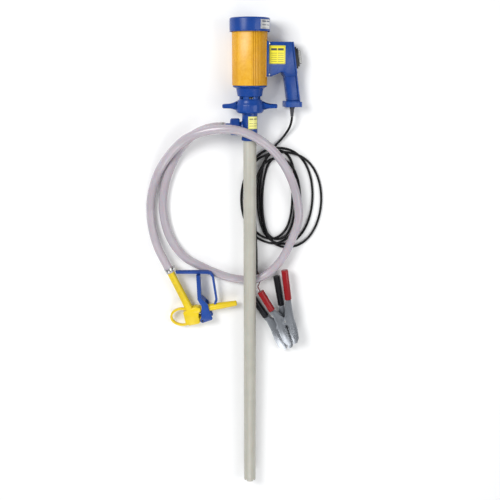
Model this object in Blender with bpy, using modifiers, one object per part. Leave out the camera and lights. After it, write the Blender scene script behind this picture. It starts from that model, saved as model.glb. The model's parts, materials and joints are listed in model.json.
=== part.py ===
"""Electric drum pump for oil, laid down with its hose, nozzle, cable and battery clamps.

The pump's own axis is the local Z of the empty "pump_frame": the foot is at z = 0 and the motor at
the far end, the handle points to local +X and the side that faces up is local -Y. The empty
"motor_frame" rolls the motor group about that axis, so that the handle's foot rests on the floor.
"""

import math

import bmesh
import bpy
from mathutils import Matrix, Vector

# ---- general -----------------------------------------------------------------------------------
GAP = 0.0003            # clearance between pieces that touch
ROUND = 28              # facets of a large turned piece
SMALL_ROUND = 14        # facets of a small turned piece
MERGE = 0.00001         # merge distance of turned pieces

# ---- pump tube ---------------------------------------------------------------------------------
IMMERSION = 1.200       # foot to pump head
TUBE_OD = 0.041
TUBE_WALL = 0.0035
INNER_TUBE_OD = 0.020
INNER_TUBE_WALL = 0.0025
SHAFT_D = 0.008
BUSH_LENGTH = 0.020
FOOT_RIM = 0.012        # the part of the foot that shows below the tube
FOOT_SPIGOT = 0.030
FOOT_NOTCHES = 4
SUCTION_EYE_D = 0.022
IMPELLER_LENGTH = 0.014

# ---- pump head ---------------------------------------------------------------------------------
HEAD_D = 0.048
HEAD_LENGTH = 0.074
TUBE_SOCKET = 0.015     # how far the tube goes up into the head
HEAD_FLANGE_D = 0.062
OUTLET_Z = 0.042        # outlet axis above the bottom of the head
OUTLET_D = 0.030
OUTLET_BORE = 0.020
OUTLET_REACH = 0.043    # from the pump axis to the end of the outlet spigot
UNION_D = 0.052
UNION_LENGTH = 0.030
HOSE_START = 0.075      # from the pump axis to the end of the hose

# ---- motor and its lower flange ----------------------------------------------------------------
MOTOR_ABOVE_HEAD = 0.167
HOUSING_D = 0.108
HOUSING_LENGTH = 0.159
HOUSING_BORE = 0.077
FIN_DEPTH = 0.0045
FIN_COUNT = 13
FIN_SECTORS = 3
FIN_SECTOR_HALF = math.radians(36)
CAP_D = 0.122
CAP_LENGTH = 0.037
CAP_WALL = 0.0025
CAP_ROUNDING = 0.004
RIM_D = 0.105
CONE_TOP_D = 0.084
CONE_BOTTOM_D = 0.076
CONE_LENGTH = 0.032
WINDOW_RING_D = 0.065
WINDOW_RING_BORE = 0.057
WINDOW_COUNT = 6
WINDOW_WIDTH = 0.0146
WINDOW_HEIGHT = 0.007
THREAD_D = 0.069
THREAD_TOP = 0.042      # distances below the bottom of the housing
THREAD_BOTTOM = 0.058
THREAD_RIDGES = 3
FLANGE_LENGTH = 0.062
MOTOR_SHAFT_D = 0.010
BEARING_D = 0.026
BEARING_WIDTH = 0.008
ROTOR_D = 0.053
STATOR_BORE = 0.056
STATOR_LENGTH = 0.095
COMMUTATOR_D = 0.028
BRUSH_SECTION = 0.007
CAP_POST_D = 0.005
CAP_POST_INSET = 0.0035  # from the edge of the housing to the middle of a post
FAN_PLAY = 0.0015       # between the fan and the posts
FAN_D = HOUSING_D - 2 * CAP_POST_INSET - CAP_POST_D - 2 * FAN_PLAY
FAN_BLADES = 9

# ---- wing nut ----------------------------------------------------------------------------------
NUT_TOP = 0.0435        # distances below the bottom of the housing
NUT_BOTTOM = 0.083
NUT_D = 0.085
WING_SPAN = 0.170
WING_LEVEL = 0.062
WING_THICKNESS = 0.014

# ---- handle ------------------------------------------------------------------------------------
PAD_LOW = 0.025         # heights above the bottom of the housing
PAD_HIGH = 0.130
PAD_FACE = 0.0435       # flat of the housing that the handle is screwed to, from the axis
PAD_HALF = 0.0345
HANDLE_FLANGE = 0.0082  # thickness of the blue flange
HANDLE_FLANGE_HALF = 0.033
HANDLE_TOP = 0.128
HANDLE_REAR = 0.132     # rear face at the top, from the axis
HANDLE_LEAN = math.radians(8)
GRIP_BOTTOM = -0.050
GRIP_DEPTH = 0.0385
BOX_HALF = 0.022
GRIP_HALF = 0.018
FOOT_HALF = 0.023
FOOT_FRONT = 0.110
FOOT_REAR = 0.161
FOOT_HEIGHT = 0.016
SHELL_WALL = 0.003
COVER_THICKNESS = 0.005
SWITCH_HEIGHT = 0.081   # centre of the switch above the bottom of the housing
SWITCH_FRAME = (0.017, 0.032)
SWITCH_STEP = (0.014, 0.027)
SWITCH_DEPTH = 0.012
SWITCH_DOME = (0.0125, 0.020)
SWITCH_DOME_DEPTH = 0.0085
ROCKER_HALF_WIDTH = 0.008
ROCKER_HALF_TRAVEL = math.radians(8)
GLAND_LENGTH = 0.030
CABLE_D = 0.0075
GLAND_D = 0.016

# ---- hose and cable ----------------------------------------------------------------------------
HOSE_D = 0.027
HOSE_POINTS = 60
HOSE_CROSSING = 0.734   # where the hose passes under the tube, from the foot
WIRE_D = 0.0035
WIRE_PLAY = 0.0038       # clear of the grip that swings past its end
COIL_CENTRE = (0.103, 1.008)
COIL_OUTER = (0.136, 0.172)
COIL_HOLE_CENTRE = (0.084, 1.008)
COIL_HOLE = (0.047, 0.132)
COIL_HEIGHT = 0.016
FLOOR_GAP = 0.0002

# ---- nozzle ------------------------------------------------------------------------------------
NOZZLE_PLACE = (-0.195, 0.612)
NOZZLE_LEVEL = 0.0209
NOZZLE_TIP_UP = math.radians(6.2)   # its guard lies on the hose
NOZZLE_PIN_HALF = 0.019
NOZZLE_BODY_HALF = 0.014
LEVER_HALF = 0.0178
LEVER_PLATE = 0.003
SPOUT_D = 0.025
SPOUT_TIP_D = 0.018
SPOUT_BORE = 0.012
PIVOT = (0.036, -0.014)
PIVOT_D = 0.006
STEM_D = 0.006
STEM_LEVEL = 0.008

# ---- battery clamps ----------------------------------------------------------------------------
CLAMP_HALF = 0.012
CLAMP_NEST = 0.0022     # how much narrower the moving half is, each side
CLAMP_SHEET = 0.0015
CLAMP_EAR = 0.011
CLAMP_PIN_D = 0.006
GRIP_D = 0.023
CLAMP_GRIPS = (0.102, 0.076)   # lengths of the two grips
FIXED_GRIP_START = -0.065
MOVING_GRIP_START = -0.044
FIXED_GRIP_LEAN = math.radians(10)
MOVING_GRIP_LEAN = math.radians(13)
GRIP_LEVEL = 0.0315
RED_CLAMP = (0.118, 0.600, 0.0402, math.radians(-72.5))
BLACK_CLAMP = (0.100, 0.572, 0.0134, math.radians(-70))

# ---- places that follow from the sizes ---------------------------------------------------------
HOUSING_Z = IMMERSION + MOTOR_ABOVE_HEAD
CAP_Z = HOUSING_Z + HOUSING_LENGTH
OUTLET = IMMERSION + OUTLET_Z
TUBE_REST = HOSE_D + FLOOR_GAP + GAP + TUBE_OD / 2
TILT = math.asin((CAP_D / 2 - TUBE_REST) / (CAP_Z - HOSE_CROSSING))
FOOT_LEVEL = TUBE_REST - HOSE_CROSSING * math.sin(TILT)


def axis_level(along):
    """Height of the pump's axis above the floor, at a distance from the foot."""
    return FOOT_LEVEL + along * math.sin(TILT)


FOOT_REACH = math.hypot(FOOT_REAR, FOOT_HALF)
HANDLE_FOOT_Z = HOUSING_Z + GRIP_BOTTOM - FOOT_HEIGHT
ROLL = math.asin(axis_level(HANDLE_FOOT_Z) / FOOT_REACH) - math.atan2(FOOT_HALF, FOOT_REAR)

MODEL = None
CUTTERS = None
PALETTE = {
    "blue_plastic": ((0.020, 0.075, 0.310), 0.40, 0.0),
    "yellow_paint": ((0.800, 0.430, 0.020), 0.45, 0.0),
    "tube_grey": ((0.480, 0.470, 0.400), 0.45, 0.0),
    "hose_grey": ((0.560, 0.500, 0.560), 0.25, 0.0),
    "nozzle_yellow": ((0.830, 0.620, 0.030), 0.45, 0.0),
    "nozzle_blue": ((0.030, 0.090, 0.420), 0.40, 0.0),
    "black_rubber": ((0.012, 0.012, 0.014), 0.60, 0.0),
    "black_plastic": ((0.018, 0.018, 0.020), 0.45, 0.0),
    "red_grip": ((0.400, 0.010, 0.015), 0.35, 0.0),
    "clear_cover": ((0.750, 0.750, 0.740), 0.15, 0.0),
    "zinc": ((0.560, 0.600, 0.660), 0.35, 1.0),
    "steel": ((0.600, 0.600, 0.600), 0.30, 1.0),
    "carbon": ((0.030, 0.030, 0.030), 0.70, 0.0),
    "ptfe": ((0.800, 0.800, 0.780), 0.50, 0.0),
}


# ---- tools -------------------------------------------------------------------------------------
def finish_named(name):
    """The Principled material of that name, made when it is first asked for."""
    found = bpy.data.materials.get(name)
    if found:
        return found
    colour, roughness, metallic = PALETTE[name]
    made = bpy.data.materials.new(name)
    made.use_nodes = True
    shader = made.node_tree.nodes["Principled BSDF"]
    shader.inputs["Base Color"].default_value = (*colour, 1.0)
    shader.inputs["Roughness"].default_value = roughness
    shader.inputs["Metallic"].default_value = metallic
    made.diffuse_color = (*colour, 1.0)
    return made


def place(name, data, finish, parent, location=(0, 0, 0), rotation=(0, 0, 0)):
    """Links an object, a piece of the model if it has a finish and a hidden cutter if it has none."""
    made = bpy.data.objects.new(name, data)
    made.parent = parent
    made.location = location
    made.rotation_euler = rotation
    if finish is None:
        CUTTERS.objects.link(made)
        made.hide_render = True
        made.display_type = "WIRE"
    else:
        MODEL.objects.link(made)
        data.materials.append(finish_named(finish))
    return made


def frame(name, parent, location=(0, 0, 0), rotation=(0, 0, 0)):
    """An empty that carries pieces."""
    made = bpy.data.objects.new(name, None)
    MODEL.objects.link(made)
    made.parent = parent
    made.location = location
    made.rotation_euler = rotation
    return made


def smooth_faces(mesh):
    """Shades a round piece smooth, with its edges kept sharp."""
    mesh.shade_smooth()
    mesh.set_sharp_from_angle(angle=math.radians(35))


def turned(name, profile, finish, parent, location=(0, 0, 0), rotation=(0, 0, 0), steps=ROUND):
    """A piece turned about local Z from (radius, height) points.

    The points run down the outer side. A profile that starts and ends on the axis makes a solid,
    and any other is closed into a ring.
    """
    count = len(profile)
    solid = profile[0][0] == 0 and profile[-1][0] == 0
    edges = [(i, i + 1) for i in range(count - 1)]
    if not solid:
        edges.append((count - 1, 0))
    mesh = bpy.data.meshes.new(name)
    mesh.from_pydata([(radius, 0, height) for radius, height in profile], edges, [])
    made = place(name, mesh, finish, parent, location, rotation)
    screw = made.modifiers.new("Turn", "SCREW")
    screw.steps = steps
    screw.render_steps = steps
    screw.use_merge_vertices = True
    screw.merge_threshold = MERGE
    screw.use_smooth_shade = True
    return made


def ring(name, outer_d, inner_d, low, high, finish, parent, steps=ROUND, **where):
    """A plain ring between two heights."""
    outer, inner = outer_d / 2, inner_d / 2
    profile = [(outer, high), (outer, low), (inner, low), (inner, high)]
    return turned(name, profile, finish, parent, steps=steps, **where)


def rod(name, diameter, low, high, finish, parent, steps=SMALL_ROUND, **where):
    """A plain round bar between two heights."""
    radius = diameter / 2
    profile = [(0, high), (radius, high), (radius, low), (0, low)]
    return turned(name, profile, finish, parent, steps=steps, **where)


def as_mesh(curve_object, name):
    """The evaluated mesh of a curve, with its caps welded, and the curve removed."""
    bpy.context.view_layer.update()
    evaluated = curve_object.evaluated_get(bpy.context.evaluated_depsgraph_get())
    mesh = bpy.data.meshes.new_from_object(evaluated)
    mesh.name = name
    curve = curve_object.data
    bpy.data.objects.remove(curve_object)
    bpy.data.curves.remove(curve)
    shape = bmesh.new()
    shape.from_mesh(mesh)
    bmesh.ops.remove_doubles(shape, verts=shape.verts, dist=MERGE)
    shape.to_mesh(mesh)
    shape.free()
    return mesh


def extruded(name, outlines, half, finish, parent, location=(0, 0, 0), rotation=(0, 0, 0), bevel=0):
    """A flat outline, with any holes after it, extruded by half each way along local Z."""
    curve = bpy.data.curves.new(name + "_outline", "CURVE")
    curve.dimensions = "2D"
    curve.fill_mode = "BOTH"
    curve.extrude = half
    for outline in outlines:
        spline = curve.splines.new("POLY")
        spline.points.add(len(outline) - 1)
        for point, (x, y) in zip(spline.points, outline):
            point.co = (x, y, 0, 1)
        spline.use_cyclic_u = True
    guide = bpy.data.objects.new(name + "_outline", curve)
    CUTTERS.objects.link(guide)
    made = place(name, as_mesh(guide, name), finish, parent, location, rotation)
    if bevel:
        rounding = made.modifiers.new("Round", "BEVEL")
        rounding.width = bevel
        rounding.segments = 2
        rounding.limit_method = "ANGLE"
        rounding.angle_limit = math.radians(50)
    return made


def tube(name, points, diameter, finish, parent, resolution=2, closed=False):
    """A round bar or cord along points."""
    curve = bpy.data.curves.new(name, "CURVE")
    curve.dimensions = "3D"
    curve.bevel_depth = diameter / 2
    curve.bevel_resolution = resolution
    curve.use_fill_caps = True
    spline = curve.splines.new("POLY")
    spline.points.add(len(points) - 1)
    for point, place_of in zip(spline.points, points):
        point.co = (*place_of, 1)
    spline.use_cyclic_u = closed
    return place(name, curve, finish, parent)


def box(name, low, high, finish, parent, bevel=0, **where):
    """A box between two corners."""
    shape = bmesh.new()
    middle = [(a + b) / 2 for a, b in zip(low, high)]
    size = [b - a for a, b in zip(low, high)]
    matrix = Matrix.Translation(middle) @ Matrix.Diagonal((*size, 1))
    bmesh.ops.create_cube(shape, size=1, matrix=matrix)
    mesh = bpy.data.meshes.new(name)
    shape.to_mesh(mesh)
    shape.free()
    made = place(name, mesh, finish, parent, **where)
    if bevel:
        rounding = made.modifiers.new("Round", "BEVEL")
        rounding.width = bevel
        rounding.segments = 2
    return made


def combine(made, other, operation):
    """Cuts or joins a piece with a helper object."""
    step = made.modifiers.new(operation.title(), "BOOLEAN")
    step.operation = operation
    step.solver = "EXACT"
    step.object = other


def cut(made, *others):
    """Takes helper shapes away from a piece."""
    for other in others:
        combine(made, other, "DIFFERENCE")


def join(made, *others):
    """Adds helper shapes to a piece."""
    for other in others:
        combine(made, other, "UNION")


def arc(radius, start, end, count, centre=(0, 0)):
    """Points along an arc, both ends included."""
    return [
        (
            centre[0] + radius * math.cos(start + (end - start) * i / count),
            centre[1] + radius * math.sin(start + (end - start) * i / count),
        )
        for i in range(count + 1)
    ]


def ellipse(centre, halves, count):
    """A closed ellipse as an outline."""
    return [
        (
            centre[0] + halves[0] * math.cos(math.tau * i / count),
            centre[1] + halves[1] * math.sin(math.tau * i / count),
        )
        for i in range(count)
    ]


def smooth_path(points, count):
    """Evenly spaced points on a centripetal Catmull-Rom curve through the given points."""
    known = [Vector(p) for p in points]
    known = [2 * known[0] - known[1]] + known + [2 * known[-1] - known[-2]]
    fine = []
    for i in range(1, len(known) - 2):
        a, b, c, d = known[i - 1:i + 3]
        t0 = 0.0
        t1 = t0 + math.sqrt((b - a).length)
        t2 = t1 + math.sqrt((c - b).length)
        t3 = t2 + math.sqrt((d - c).length)
        for step in range(16):
            t = t1 + (t2 - t1) * step / 16
            ab = a.lerp(b, (t - t0) / (t1 - t0))
            bc = b.lerp(c, (t - t1) / (t2 - t1))
            cd = c.lerp(d, (t - t2) / (t3 - t2))
            abc = ab.lerp(bc, (t - t0) / (t2 - t0))
            bcd = bc.lerp(cd, (t - t1) / (t3 - t1))
            fine.append(abc.lerp(bcd, (t - t1) / (t2 - t1)))
    fine.append(known[-2])
    along = [0.0]
    for a, b in zip(fine, fine[1:]):
        along.append(along[-1] + (b - a).length)
    even = []
    j = 0
    for i in range(count):
        want = along[-1] * i / (count - 1)
        while j < len(along) - 2 and along[j + 1] < want:
            j += 1
        even.append(fine[j].lerp(fine[j + 1], (want - along[j]) / (along[j + 1] - along[j])))
    return even


FLAT_IN_XZ = (math.radians(90), 0, 0)   # turns an outline's plane to the pump frame's XZ
ALONG_X = (0, math.radians(90), 0)      # turns a turned piece's axis to +X
ALONG_MINUS_X = (0, math.radians(-90), 0)


# ---- pump tube and foot ------------------------------------------------------------------------
def build_pump_tube(pump):
    """Outer and inner tube, foot, impeller, shaft, bushes and spacers."""
    tube_bore = TUBE_OD - 2 * TUBE_WALL
    inner_bore = INNER_TUBE_OD - 2 * INNER_TUBE_WALL
    ring("outer_tube", TUBE_OD, tube_bore, FOOT_RIM + GAP, IMMERSION + TUBE_SOCKET - GAP,
         "tube_grey", pump)

    rim, spigot = TUBE_OD / 2, tube_bore / 2 - GAP
    chamber = spigot - 0.0015
    eye = SUCTION_EYE_D / 2
    foot_top = FOOT_RIM + FOOT_SPIGOT
    foot = turned("pump_foot", [
        (spigot, foot_top), (spigot, FOOT_RIM), (rim, FOOT_RIM), (rim, 0.001), (rim - 0.001, 0),
        (eye + 0.004, 0), (eye, 0.004), (eye, FOOT_RIM), (chamber, FOOT_RIM + 0.002),
        (chamber, foot_top),
    ], "tube_grey", pump)
    for i in range(FOOT_NOTCHES // 2):
        turn = math.pi * i / (FOOT_NOTCHES // 2) + math.radians(45)
        notch = box(f"foot_notch_{i}", (-TUBE_OD, -0.004, -0.01), (TUBE_OD, 0.004, 0.006), None,
                    pump, rotation=(0, 0, turn))
        cut(foot, notch)

    inner_low = foot_top + 0.018
    inner_high = IMMERSION + 0.064
    ring("inner_tube", INNER_TUBE_OD, inner_bore, inner_low, inner_high, "tube_grey", pump,
         steps=SMALL_ROUND)
    build_spacer(pump, tube_bore, inner_low + 0.010)
    bush = (inner_bore - 2 * GAP, SHAFT_D + 2 * GAP)
    ring("lower_shaft_bush", *bush, inner_low + 0.004, inner_low + 0.004 + BUSH_LENGTH, "ptfe", pump,
         steps=SMALL_ROUND)
    ring("upper_shaft_bush", *bush, inner_high - 0.004 - BUSH_LENGTH, inner_high - 0.004, "ptfe", pump,
         steps=SMALL_ROUND)

    shaft_low = FOOT_RIM + 0.004
    shaft_top = HOUSING_Z - FLANGE_LENGTH - 0.012
    rod("pump_shaft", SHAFT_D, shaft_low, shaft_top, "steel", pump, steps=16)
    build_impeller(pump, shaft_low, chamber)
    return shaft_top


def build_spacer(pump, tube_bore, level):
    """Spoked ring that holds the inner tube in the middle of the outer one."""
    thickness = 0.008
    outer = tube_bore / 2 - GAP
    hub = INNER_TUBE_OD / 2 + GAP
    openings = []
    for i in range(3):
        middle = math.tau * i / 3
        half = math.radians(44)
        openings.append(
            arc(outer - 0.002, middle - half, middle + half, 6)
            + arc(hub + 0.0015, middle + half, middle - half, 6)
        )
    outlines = [ellipse((0, 0), (outer, outer), 24), ellipse((0, 0), (hub, hub), 20), *openings]
    extruded("tube_spacer", outlines, thickness / 2, "ptfe", pump, location=(0, 0, level))


def build_impeller(pump, shaft_low, chamber):
    """Hub with three slanted vanes on the lower end of the pump shaft."""
    low = shaft_low - 0.003
    high = low + IMPELLER_LENGTH
    hub = SHAFT_D / 2 + 0.003
    reach = chamber - 0.0012
    made = ring("impeller", 2 * hub, SHAFT_D + 2 * GAP, low, high, "black_plastic", pump,
                steps=SMALL_ROUND)
    for i in range(3):
        turn = math.tau * i / 3
        vane = box(f"vane_{i}", (hub - 0.0015, -0.0012, -0.006), (reach, 0.0012, 0.006), None, pump,
                   location=(0, 0, (low + high) / 2), rotation=(math.radians(35), 0, turn))
        join(made, vane)


# ---- pump head and outlet ----------------------------------------------------------------------
def build_head(pump):
    """Pump head with its outlet spigot, shaft seal and outlet union."""
    base = IMMERSION
    top = base + HEAD_LENGTH
    outer = HEAD_D / 2
    socket = TUBE_OD / 2 + GAP
    shoulder = base + TUBE_SOCKET + 0.003
    chamber = TUBE_OD / 2 - TUBE_WALL
    roof = top - 0.012
    flange_top = HOUSING_Z - FLANGE_LENGTH - GAP
    flange_low = flange_top - 0.008
    core = INNER_TUBE_OD / 2 + GAP
    seal_pocket = 0.013
    head = turned("pump_head", [
        (HEAD_FLANGE_D / 2, flange_top), (HEAD_FLANGE_D / 2, flange_low), (outer, flange_low - 0.004),
        (outer, base + 0.012), (outer + 0.002, base + 0.008), (outer + 0.002, base), (socket, base),
        (socket, shoulder), (chamber, shoulder), (chamber, roof), (core, roof),
        (core, roof + 0.003), (seal_pocket, roof + 0.003), (seal_pocket, flange_top),
    ], "blue_plastic", pump)
    spigot = rod("outlet_spigot", OUTLET_D, chamber + 0.001, OUTLET_REACH, None, pump,
                 location=(0, 0, OUTLET), rotation=ALONG_MINUS_X)
    bore = rod("outlet_bore", OUTLET_BORE, 0.0125, OUTLET_REACH + 0.01, None, pump,
               location=(0, 0, OUTLET), rotation=ALONG_MINUS_X)
    join(head, spigot)
    cut(head, bore)

    lip = SHAFT_D / 2 + GAP
    turned("shaft_seal", [
        (seal_pocket - GAP, roof + 0.012), (seal_pocket - GAP, roof + 0.003 + GAP),
        (lip + 0.003, roof + 0.003 + GAP), (lip, roof + 0.006), (lip, roof + 0.009),
        (lip + 0.004, roof + 0.012),
    ], "black_rubber", pump, steps=SMALL_ROUND)

    build_outlet_union(pump)


def build_outlet_union(pump):
    """Union nut and hose barb on the outlet, and the hose clamp behind them."""
    nut_outer, nut_bore = UNION_D / 2, OUTLET_D / 2 + GAP
    start, end = OUTLET_REACH - 0.012, OUTLET_REACH - 0.012 + UNION_LENGTH
    collar = OUTLET_REACH + GAP
    collar_end = collar + 0.004
    barb = 0.0107
    nut = turned("outlet_union_nut", [
        (nut_outer - 0.004, end), (nut_outer, end - 0.004), (nut_outer, start + 0.004),
        (nut_outer - 0.003, start), (nut_bore, start), (nut_bore, collar_end + GAP),
        (barb + 0.0015, collar_end + GAP), (barb + 0.0015, end),
    ], "blue_plastic", pump, location=(0, 0, OUTLET), rotation=ALONG_MINUS_X)
    for i in range(8):
        turn = math.tau * i / 8
        groove = rod(f"union_groove_{i}", 0.007, start - 0.001, end - 0.006, None, pump, steps=8,
                     location=(0, (nut_outer + 0.0015) * math.sin(turn),
                               OUTLET + (nut_outer + 0.0015) * math.cos(turn)),
                     rotation=ALONG_MINUS_X)
        cut(nut, groove)
    bore = OUTLET_BORE / 2 - 0.002
    turned("hose_barb", [
        (barb, HOSE_START - GAP), (barb, collar_end), (nut_bore - 2 * GAP, collar_end),
        (nut_bore - 2 * GAP, collar), (bore, collar), (bore, HOSE_START - GAP),
    ], "blue_plastic", pump, location=(0, 0, OUTLET), rotation=ALONG_MINUS_X, steps=24)
    build_hose_clamp("outlet_hose_clamp", "steel", pump, (-HOSE_START - 0.006, 0, OUTLET),
                     ALONG_MINUS_X, math.radians(180))


def build_hose_clamp(name, finish, parent, location, rotation, side):
    """Worm-drive clamp: a band round the hose with its screw housing, placed by an empty."""
    seat = frame(name + "_seat", parent, location, rotation)
    width, thickness = 0.010, 0.0009
    inner = HOSE_D / 2 + GAP
    band = ring(name, 2 * (inner + thickness), 2 * inner, 0, width, finish, seat, steps=24)
    housing = box(name + "_housing", (inner + thickness / 2, -0.006, 0.0005),
                  (inner + 0.0065, 0.006, width - 0.0005), None, seat, rotation=(0, 0, side))
    worm = rod(name + "_worm", 0.006, -0.011, 0.011, None, seat, steps=10,
               location=((inner + 0.0045) * math.cos(side), (inner + 0.0045) * math.sin(side),
                         width / 2),
               rotation=(math.radians(90), 0, side))
    join(band, housing, worm)


# ---- motor -------------------------------------------------------------------------------------
def housing_outline():
    """Outline of the motor housing: sectors of parallel fins with two flat facets between them."""
    radius = HOUSING_D / 2
    half = radius * math.sin(FIN_SECTOR_HALF)
    pitch = 2 * half / FIN_COUNT
    fin = pitch * 0.56
    points = []
    for sector in range(FIN_SECTORS):
        direction = math.pi / FIN_SECTORS + math.tau * sector / FIN_SECTORS
        ahead = (math.cos(direction), math.sin(direction))
        side = (-ahead[1], ahead[0])
        local = [(radius * math.cos(FIN_SECTOR_HALF), -half)]
        for i in range(FIN_COUNT):
            middle = (i - (FIN_COUNT - 1) / 2) * pitch
            for across, reach in (
                (middle - fin / 2, radius - FIN_DEPTH), (middle - fin / 2, radius),
                (middle + fin / 2, radius), (middle + fin / 2, radius - FIN_DEPTH),
            ):
                local.append((math.sqrt(reach ** 2 - across ** 2), across))
        local.append((radius * math.cos(FIN_SECTOR_HALF), half))
        points += [
            (ahead[0] * u + side[0] * v, ahead[1] * u + side[1] * v) for u, v in local
        ]
        edge = direction + math.pi / FIN_SECTORS
        points.append((radius * math.cos(edge), radius * math.sin(edge)))
    return points


def build_motor(motor):
    """Housing, cap, lower flange, bearings, field, armature, brushes and fan."""
    radius = HOUSING_D / 2
    bore = HOUSING_BORE / 2
    middle = HOUSING_LENGTH / 2
    housing = extruded("motor_housing", [housing_outline(), ellipse((0, 0), (bore, bore), ROUND)],
                       middle - GAP, "yellow_paint", motor, location=(0, 0, middle))
    pad = box("handle_pad", (HOUSING_BORE / 2 + 0.001, -PAD_HALF, PAD_LOW),
              (radius + 0.005, PAD_HALF, PAD_HIGH), None, motor)
    pocket = box("pad_pocket", (PAD_FACE, -radius, PAD_LOW - GAP),
                 (radius + 0.010, radius, PAD_HIGH + GAP), None, motor)
    join(housing, pad)
    cut(housing, pocket)

    top = HOUSING_LENGTH + CAP_LENGTH
    cap = CAP_D / 2
    turned("fan_cap", [
        (0, top), (cap - CAP_ROUNDING, top), (cap - 0.001, top - 0.0015), (cap, top - CAP_ROUNDING),
        (cap, HOUSING_LENGTH - 0.003), (cap - CAP_WALL, HOUSING_LENGTH - 0.003),
        (cap - CAP_WALL, top - CAP_ROUNDING), (cap - CAP_ROUNDING - CAP_WALL, top - CAP_WALL),
        (0, top - CAP_WALL),
    ], "blue_plastic", motor)
    build_lower_flange(motor)
    build_motor_inside(motor, build_rear_plate(motor, top), top)


def build_lower_flange(motor):
    """Lower flange with the cooling windows and the thread that the wing nut takes."""
    windows = WINDOW_RING_D / 2
    bore = WINDOW_RING_BORE / 2
    thread = THREAD_D / 2
    pitch = (THREAD_BOTTOM - THREAD_TOP) / THREAD_RIDGES
    seat = BEARING_D / 2 + GAP
    shaft_hole = MOTOR_SHAFT_D / 2 + 0.001
    register = HOUSING_BORE / 2 - 0.0045
    profile = [
        (register, -GAP), (RIM_D / 2, -GAP), (RIM_D / 2, -0.004), (CONE_TOP_D / 2 + 0.004, -0.0075),
        (CONE_TOP_D / 2, -0.0085), (CONE_BOTTOM_D / 2, -CONE_LENGTH), (windows, -CONE_LENGTH - 0.002),
        (windows, -THREAD_TOP),
    ]
    for i in range(THREAD_RIDGES):
        start = -THREAD_TOP - i * pitch
        profile += [(thread, start - 0.25 * pitch), (thread, start - 0.6 * pitch),
                    (windows, start - 0.95 * pitch)]
    profile += [
        (windows, -FLANGE_LENGTH), (bore, -FLANGE_LENGTH), (bore, -0.031), (shaft_hole, -0.028),
        (shaft_hole, -0.025), (seat, -0.025), (seat, -0.014), (register, -0.010),
    ]
    flange = turned("lower_flange", profile, "blue_plastic", motor)
    for i in range(WINDOW_COUNT // 2):
        turn = math.tau * i / WINDOW_COUNT + math.radians(25)
        level = -(CONE_LENGTH + THREAD_TOP) / 2
        window = box(f"window_{i}", (-0.05, -WINDOW_WIDTH / 2, level - WINDOW_HEIGHT / 2 + 0.0005),
                     (0.05, WINDOW_WIDTH / 2, level + WINDOW_HEIGHT / 2), None, motor,
                     rotation=(0, 0, turn))
        cut(flange, window)


def build_rear_plate(motor, top):
    """Plate on the housing that holds the rear bearing, with posts up to the cap."""
    low = HOUSING_LENGTH + GAP
    high = low + 0.005
    seat = BEARING_D / 2 + GAP
    post_circle = HOUSING_D / 2 - CAP_POST_INSET
    plate = turned("rear_bearing_plate", [
        (seat + 0.003, high + 0.006), (seat + 0.003, high), (HOUSING_D / 2 - 0.001, high),
        (HOUSING_D / 2 - 0.001, low), (MOTOR_SHAFT_D / 2 + 0.001, low),
        (MOTOR_SHAFT_D / 2 + 0.001, low + 0.002), (seat, low + 0.002), (seat, high + 0.006),
    ], "blue_plastic", motor)
    for i in range(4):
        turn = math.tau * (i + 0.5) / 4
        post = rod(f"cap_post_{i}", CAP_POST_D, high - 0.001, top - CAP_WALL - GAP, None, motor, steps=10,
                   location=(post_circle * math.cos(turn), post_circle * math.sin(turn), 0))
        join(plate, post)
    return plate


def build_motor_inside(motor, plate, top):
    """Everything inside the motor, each on its own place along the axis."""
    gap = GAP
    shaft = MOTOR_SHAFT_D / 2
    rear = HOUSING_LENGTH + GAP + 0.002
    bearing = (BEARING_D, MOTOR_SHAFT_D + 2 * gap)
    for name, level in (("front_bearing", -0.025 + gap), ("rear_bearing", rear + gap)):
        ring(name, *bearing, level, level + BEARING_WIDTH, "steel", motor, steps=SMALL_ROUND)

    stator_low = 0.012
    ring("stator", HOUSING_BORE - 2 * gap, STATOR_BORE, stator_low, stator_low + STATOR_LENGTH,
         "steel", motor, steps=28)
    rotor_low = stator_low + 0.008
    rotor_high = rotor_low + STATOR_LENGTH - 0.016
    commutator_low = rotor_high + 0.006
    commutator_high = commutator_low + 0.016
    rotor, commutator = ROTOR_D / 2, COMMUTATOR_D / 2
    armature = turned("armature", [
        (0, top - 0.010), (shaft, top - 0.010), (shaft, commutator_high), (commutator, commutator_high),
        (commutator, commutator_low), (shaft + 0.003, commutator_low), (shaft + 0.003, rotor_high),
        (rotor, rotor_high), (rotor, rotor_low), (shaft, rotor_low), (shaft, -0.046), (0, -0.046),
    ], "steel", motor, steps=28)
    for i in range(7):
        turn = math.tau * i / 7
        slot = box(f"armature_slot_{i}", (rotor - 0.006, -0.0015, rotor_low - 0.01),
                   (rotor + 0.002, 0.0015, rotor_high + 0.003), None, motor, rotation=(0, 0, turn))
        cut(armature, slot)
    build_brushes(motor, plate, (commutator_low + commutator_high) / 2)
    build_fan(motor, top)
    build_coupling(motor)


def build_brushes(motor, plate, level):
    """Two carbon brushes that press on the commutator, and the arms of the plate that guide them."""
    half = BRUSH_SECTION / 2
    near, far = COMMUTATOR_D / 2 + GAP, 0.028
    guide = half + GAP
    wall = 0.0015
    for name, side in (("left_brush", -1), ("right_brush", 1)):
        across = sorted((side * near, side * far))
        box(name, (-half, across[0], level - half), (half, across[1], level + half), "carbon", motor)
        for hand in (-1, 1):
            low = (hand * guide - (wall if hand < 0 else 0), side * 0.028 - 0.006, level - half)
            arm = box(f"{name}_arm_{hand}", low, (low[0] + wall, low[1] + 0.012, HOUSING_LENGTH + 0.001),
                      None, motor)
            join(plate, arm)


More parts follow.
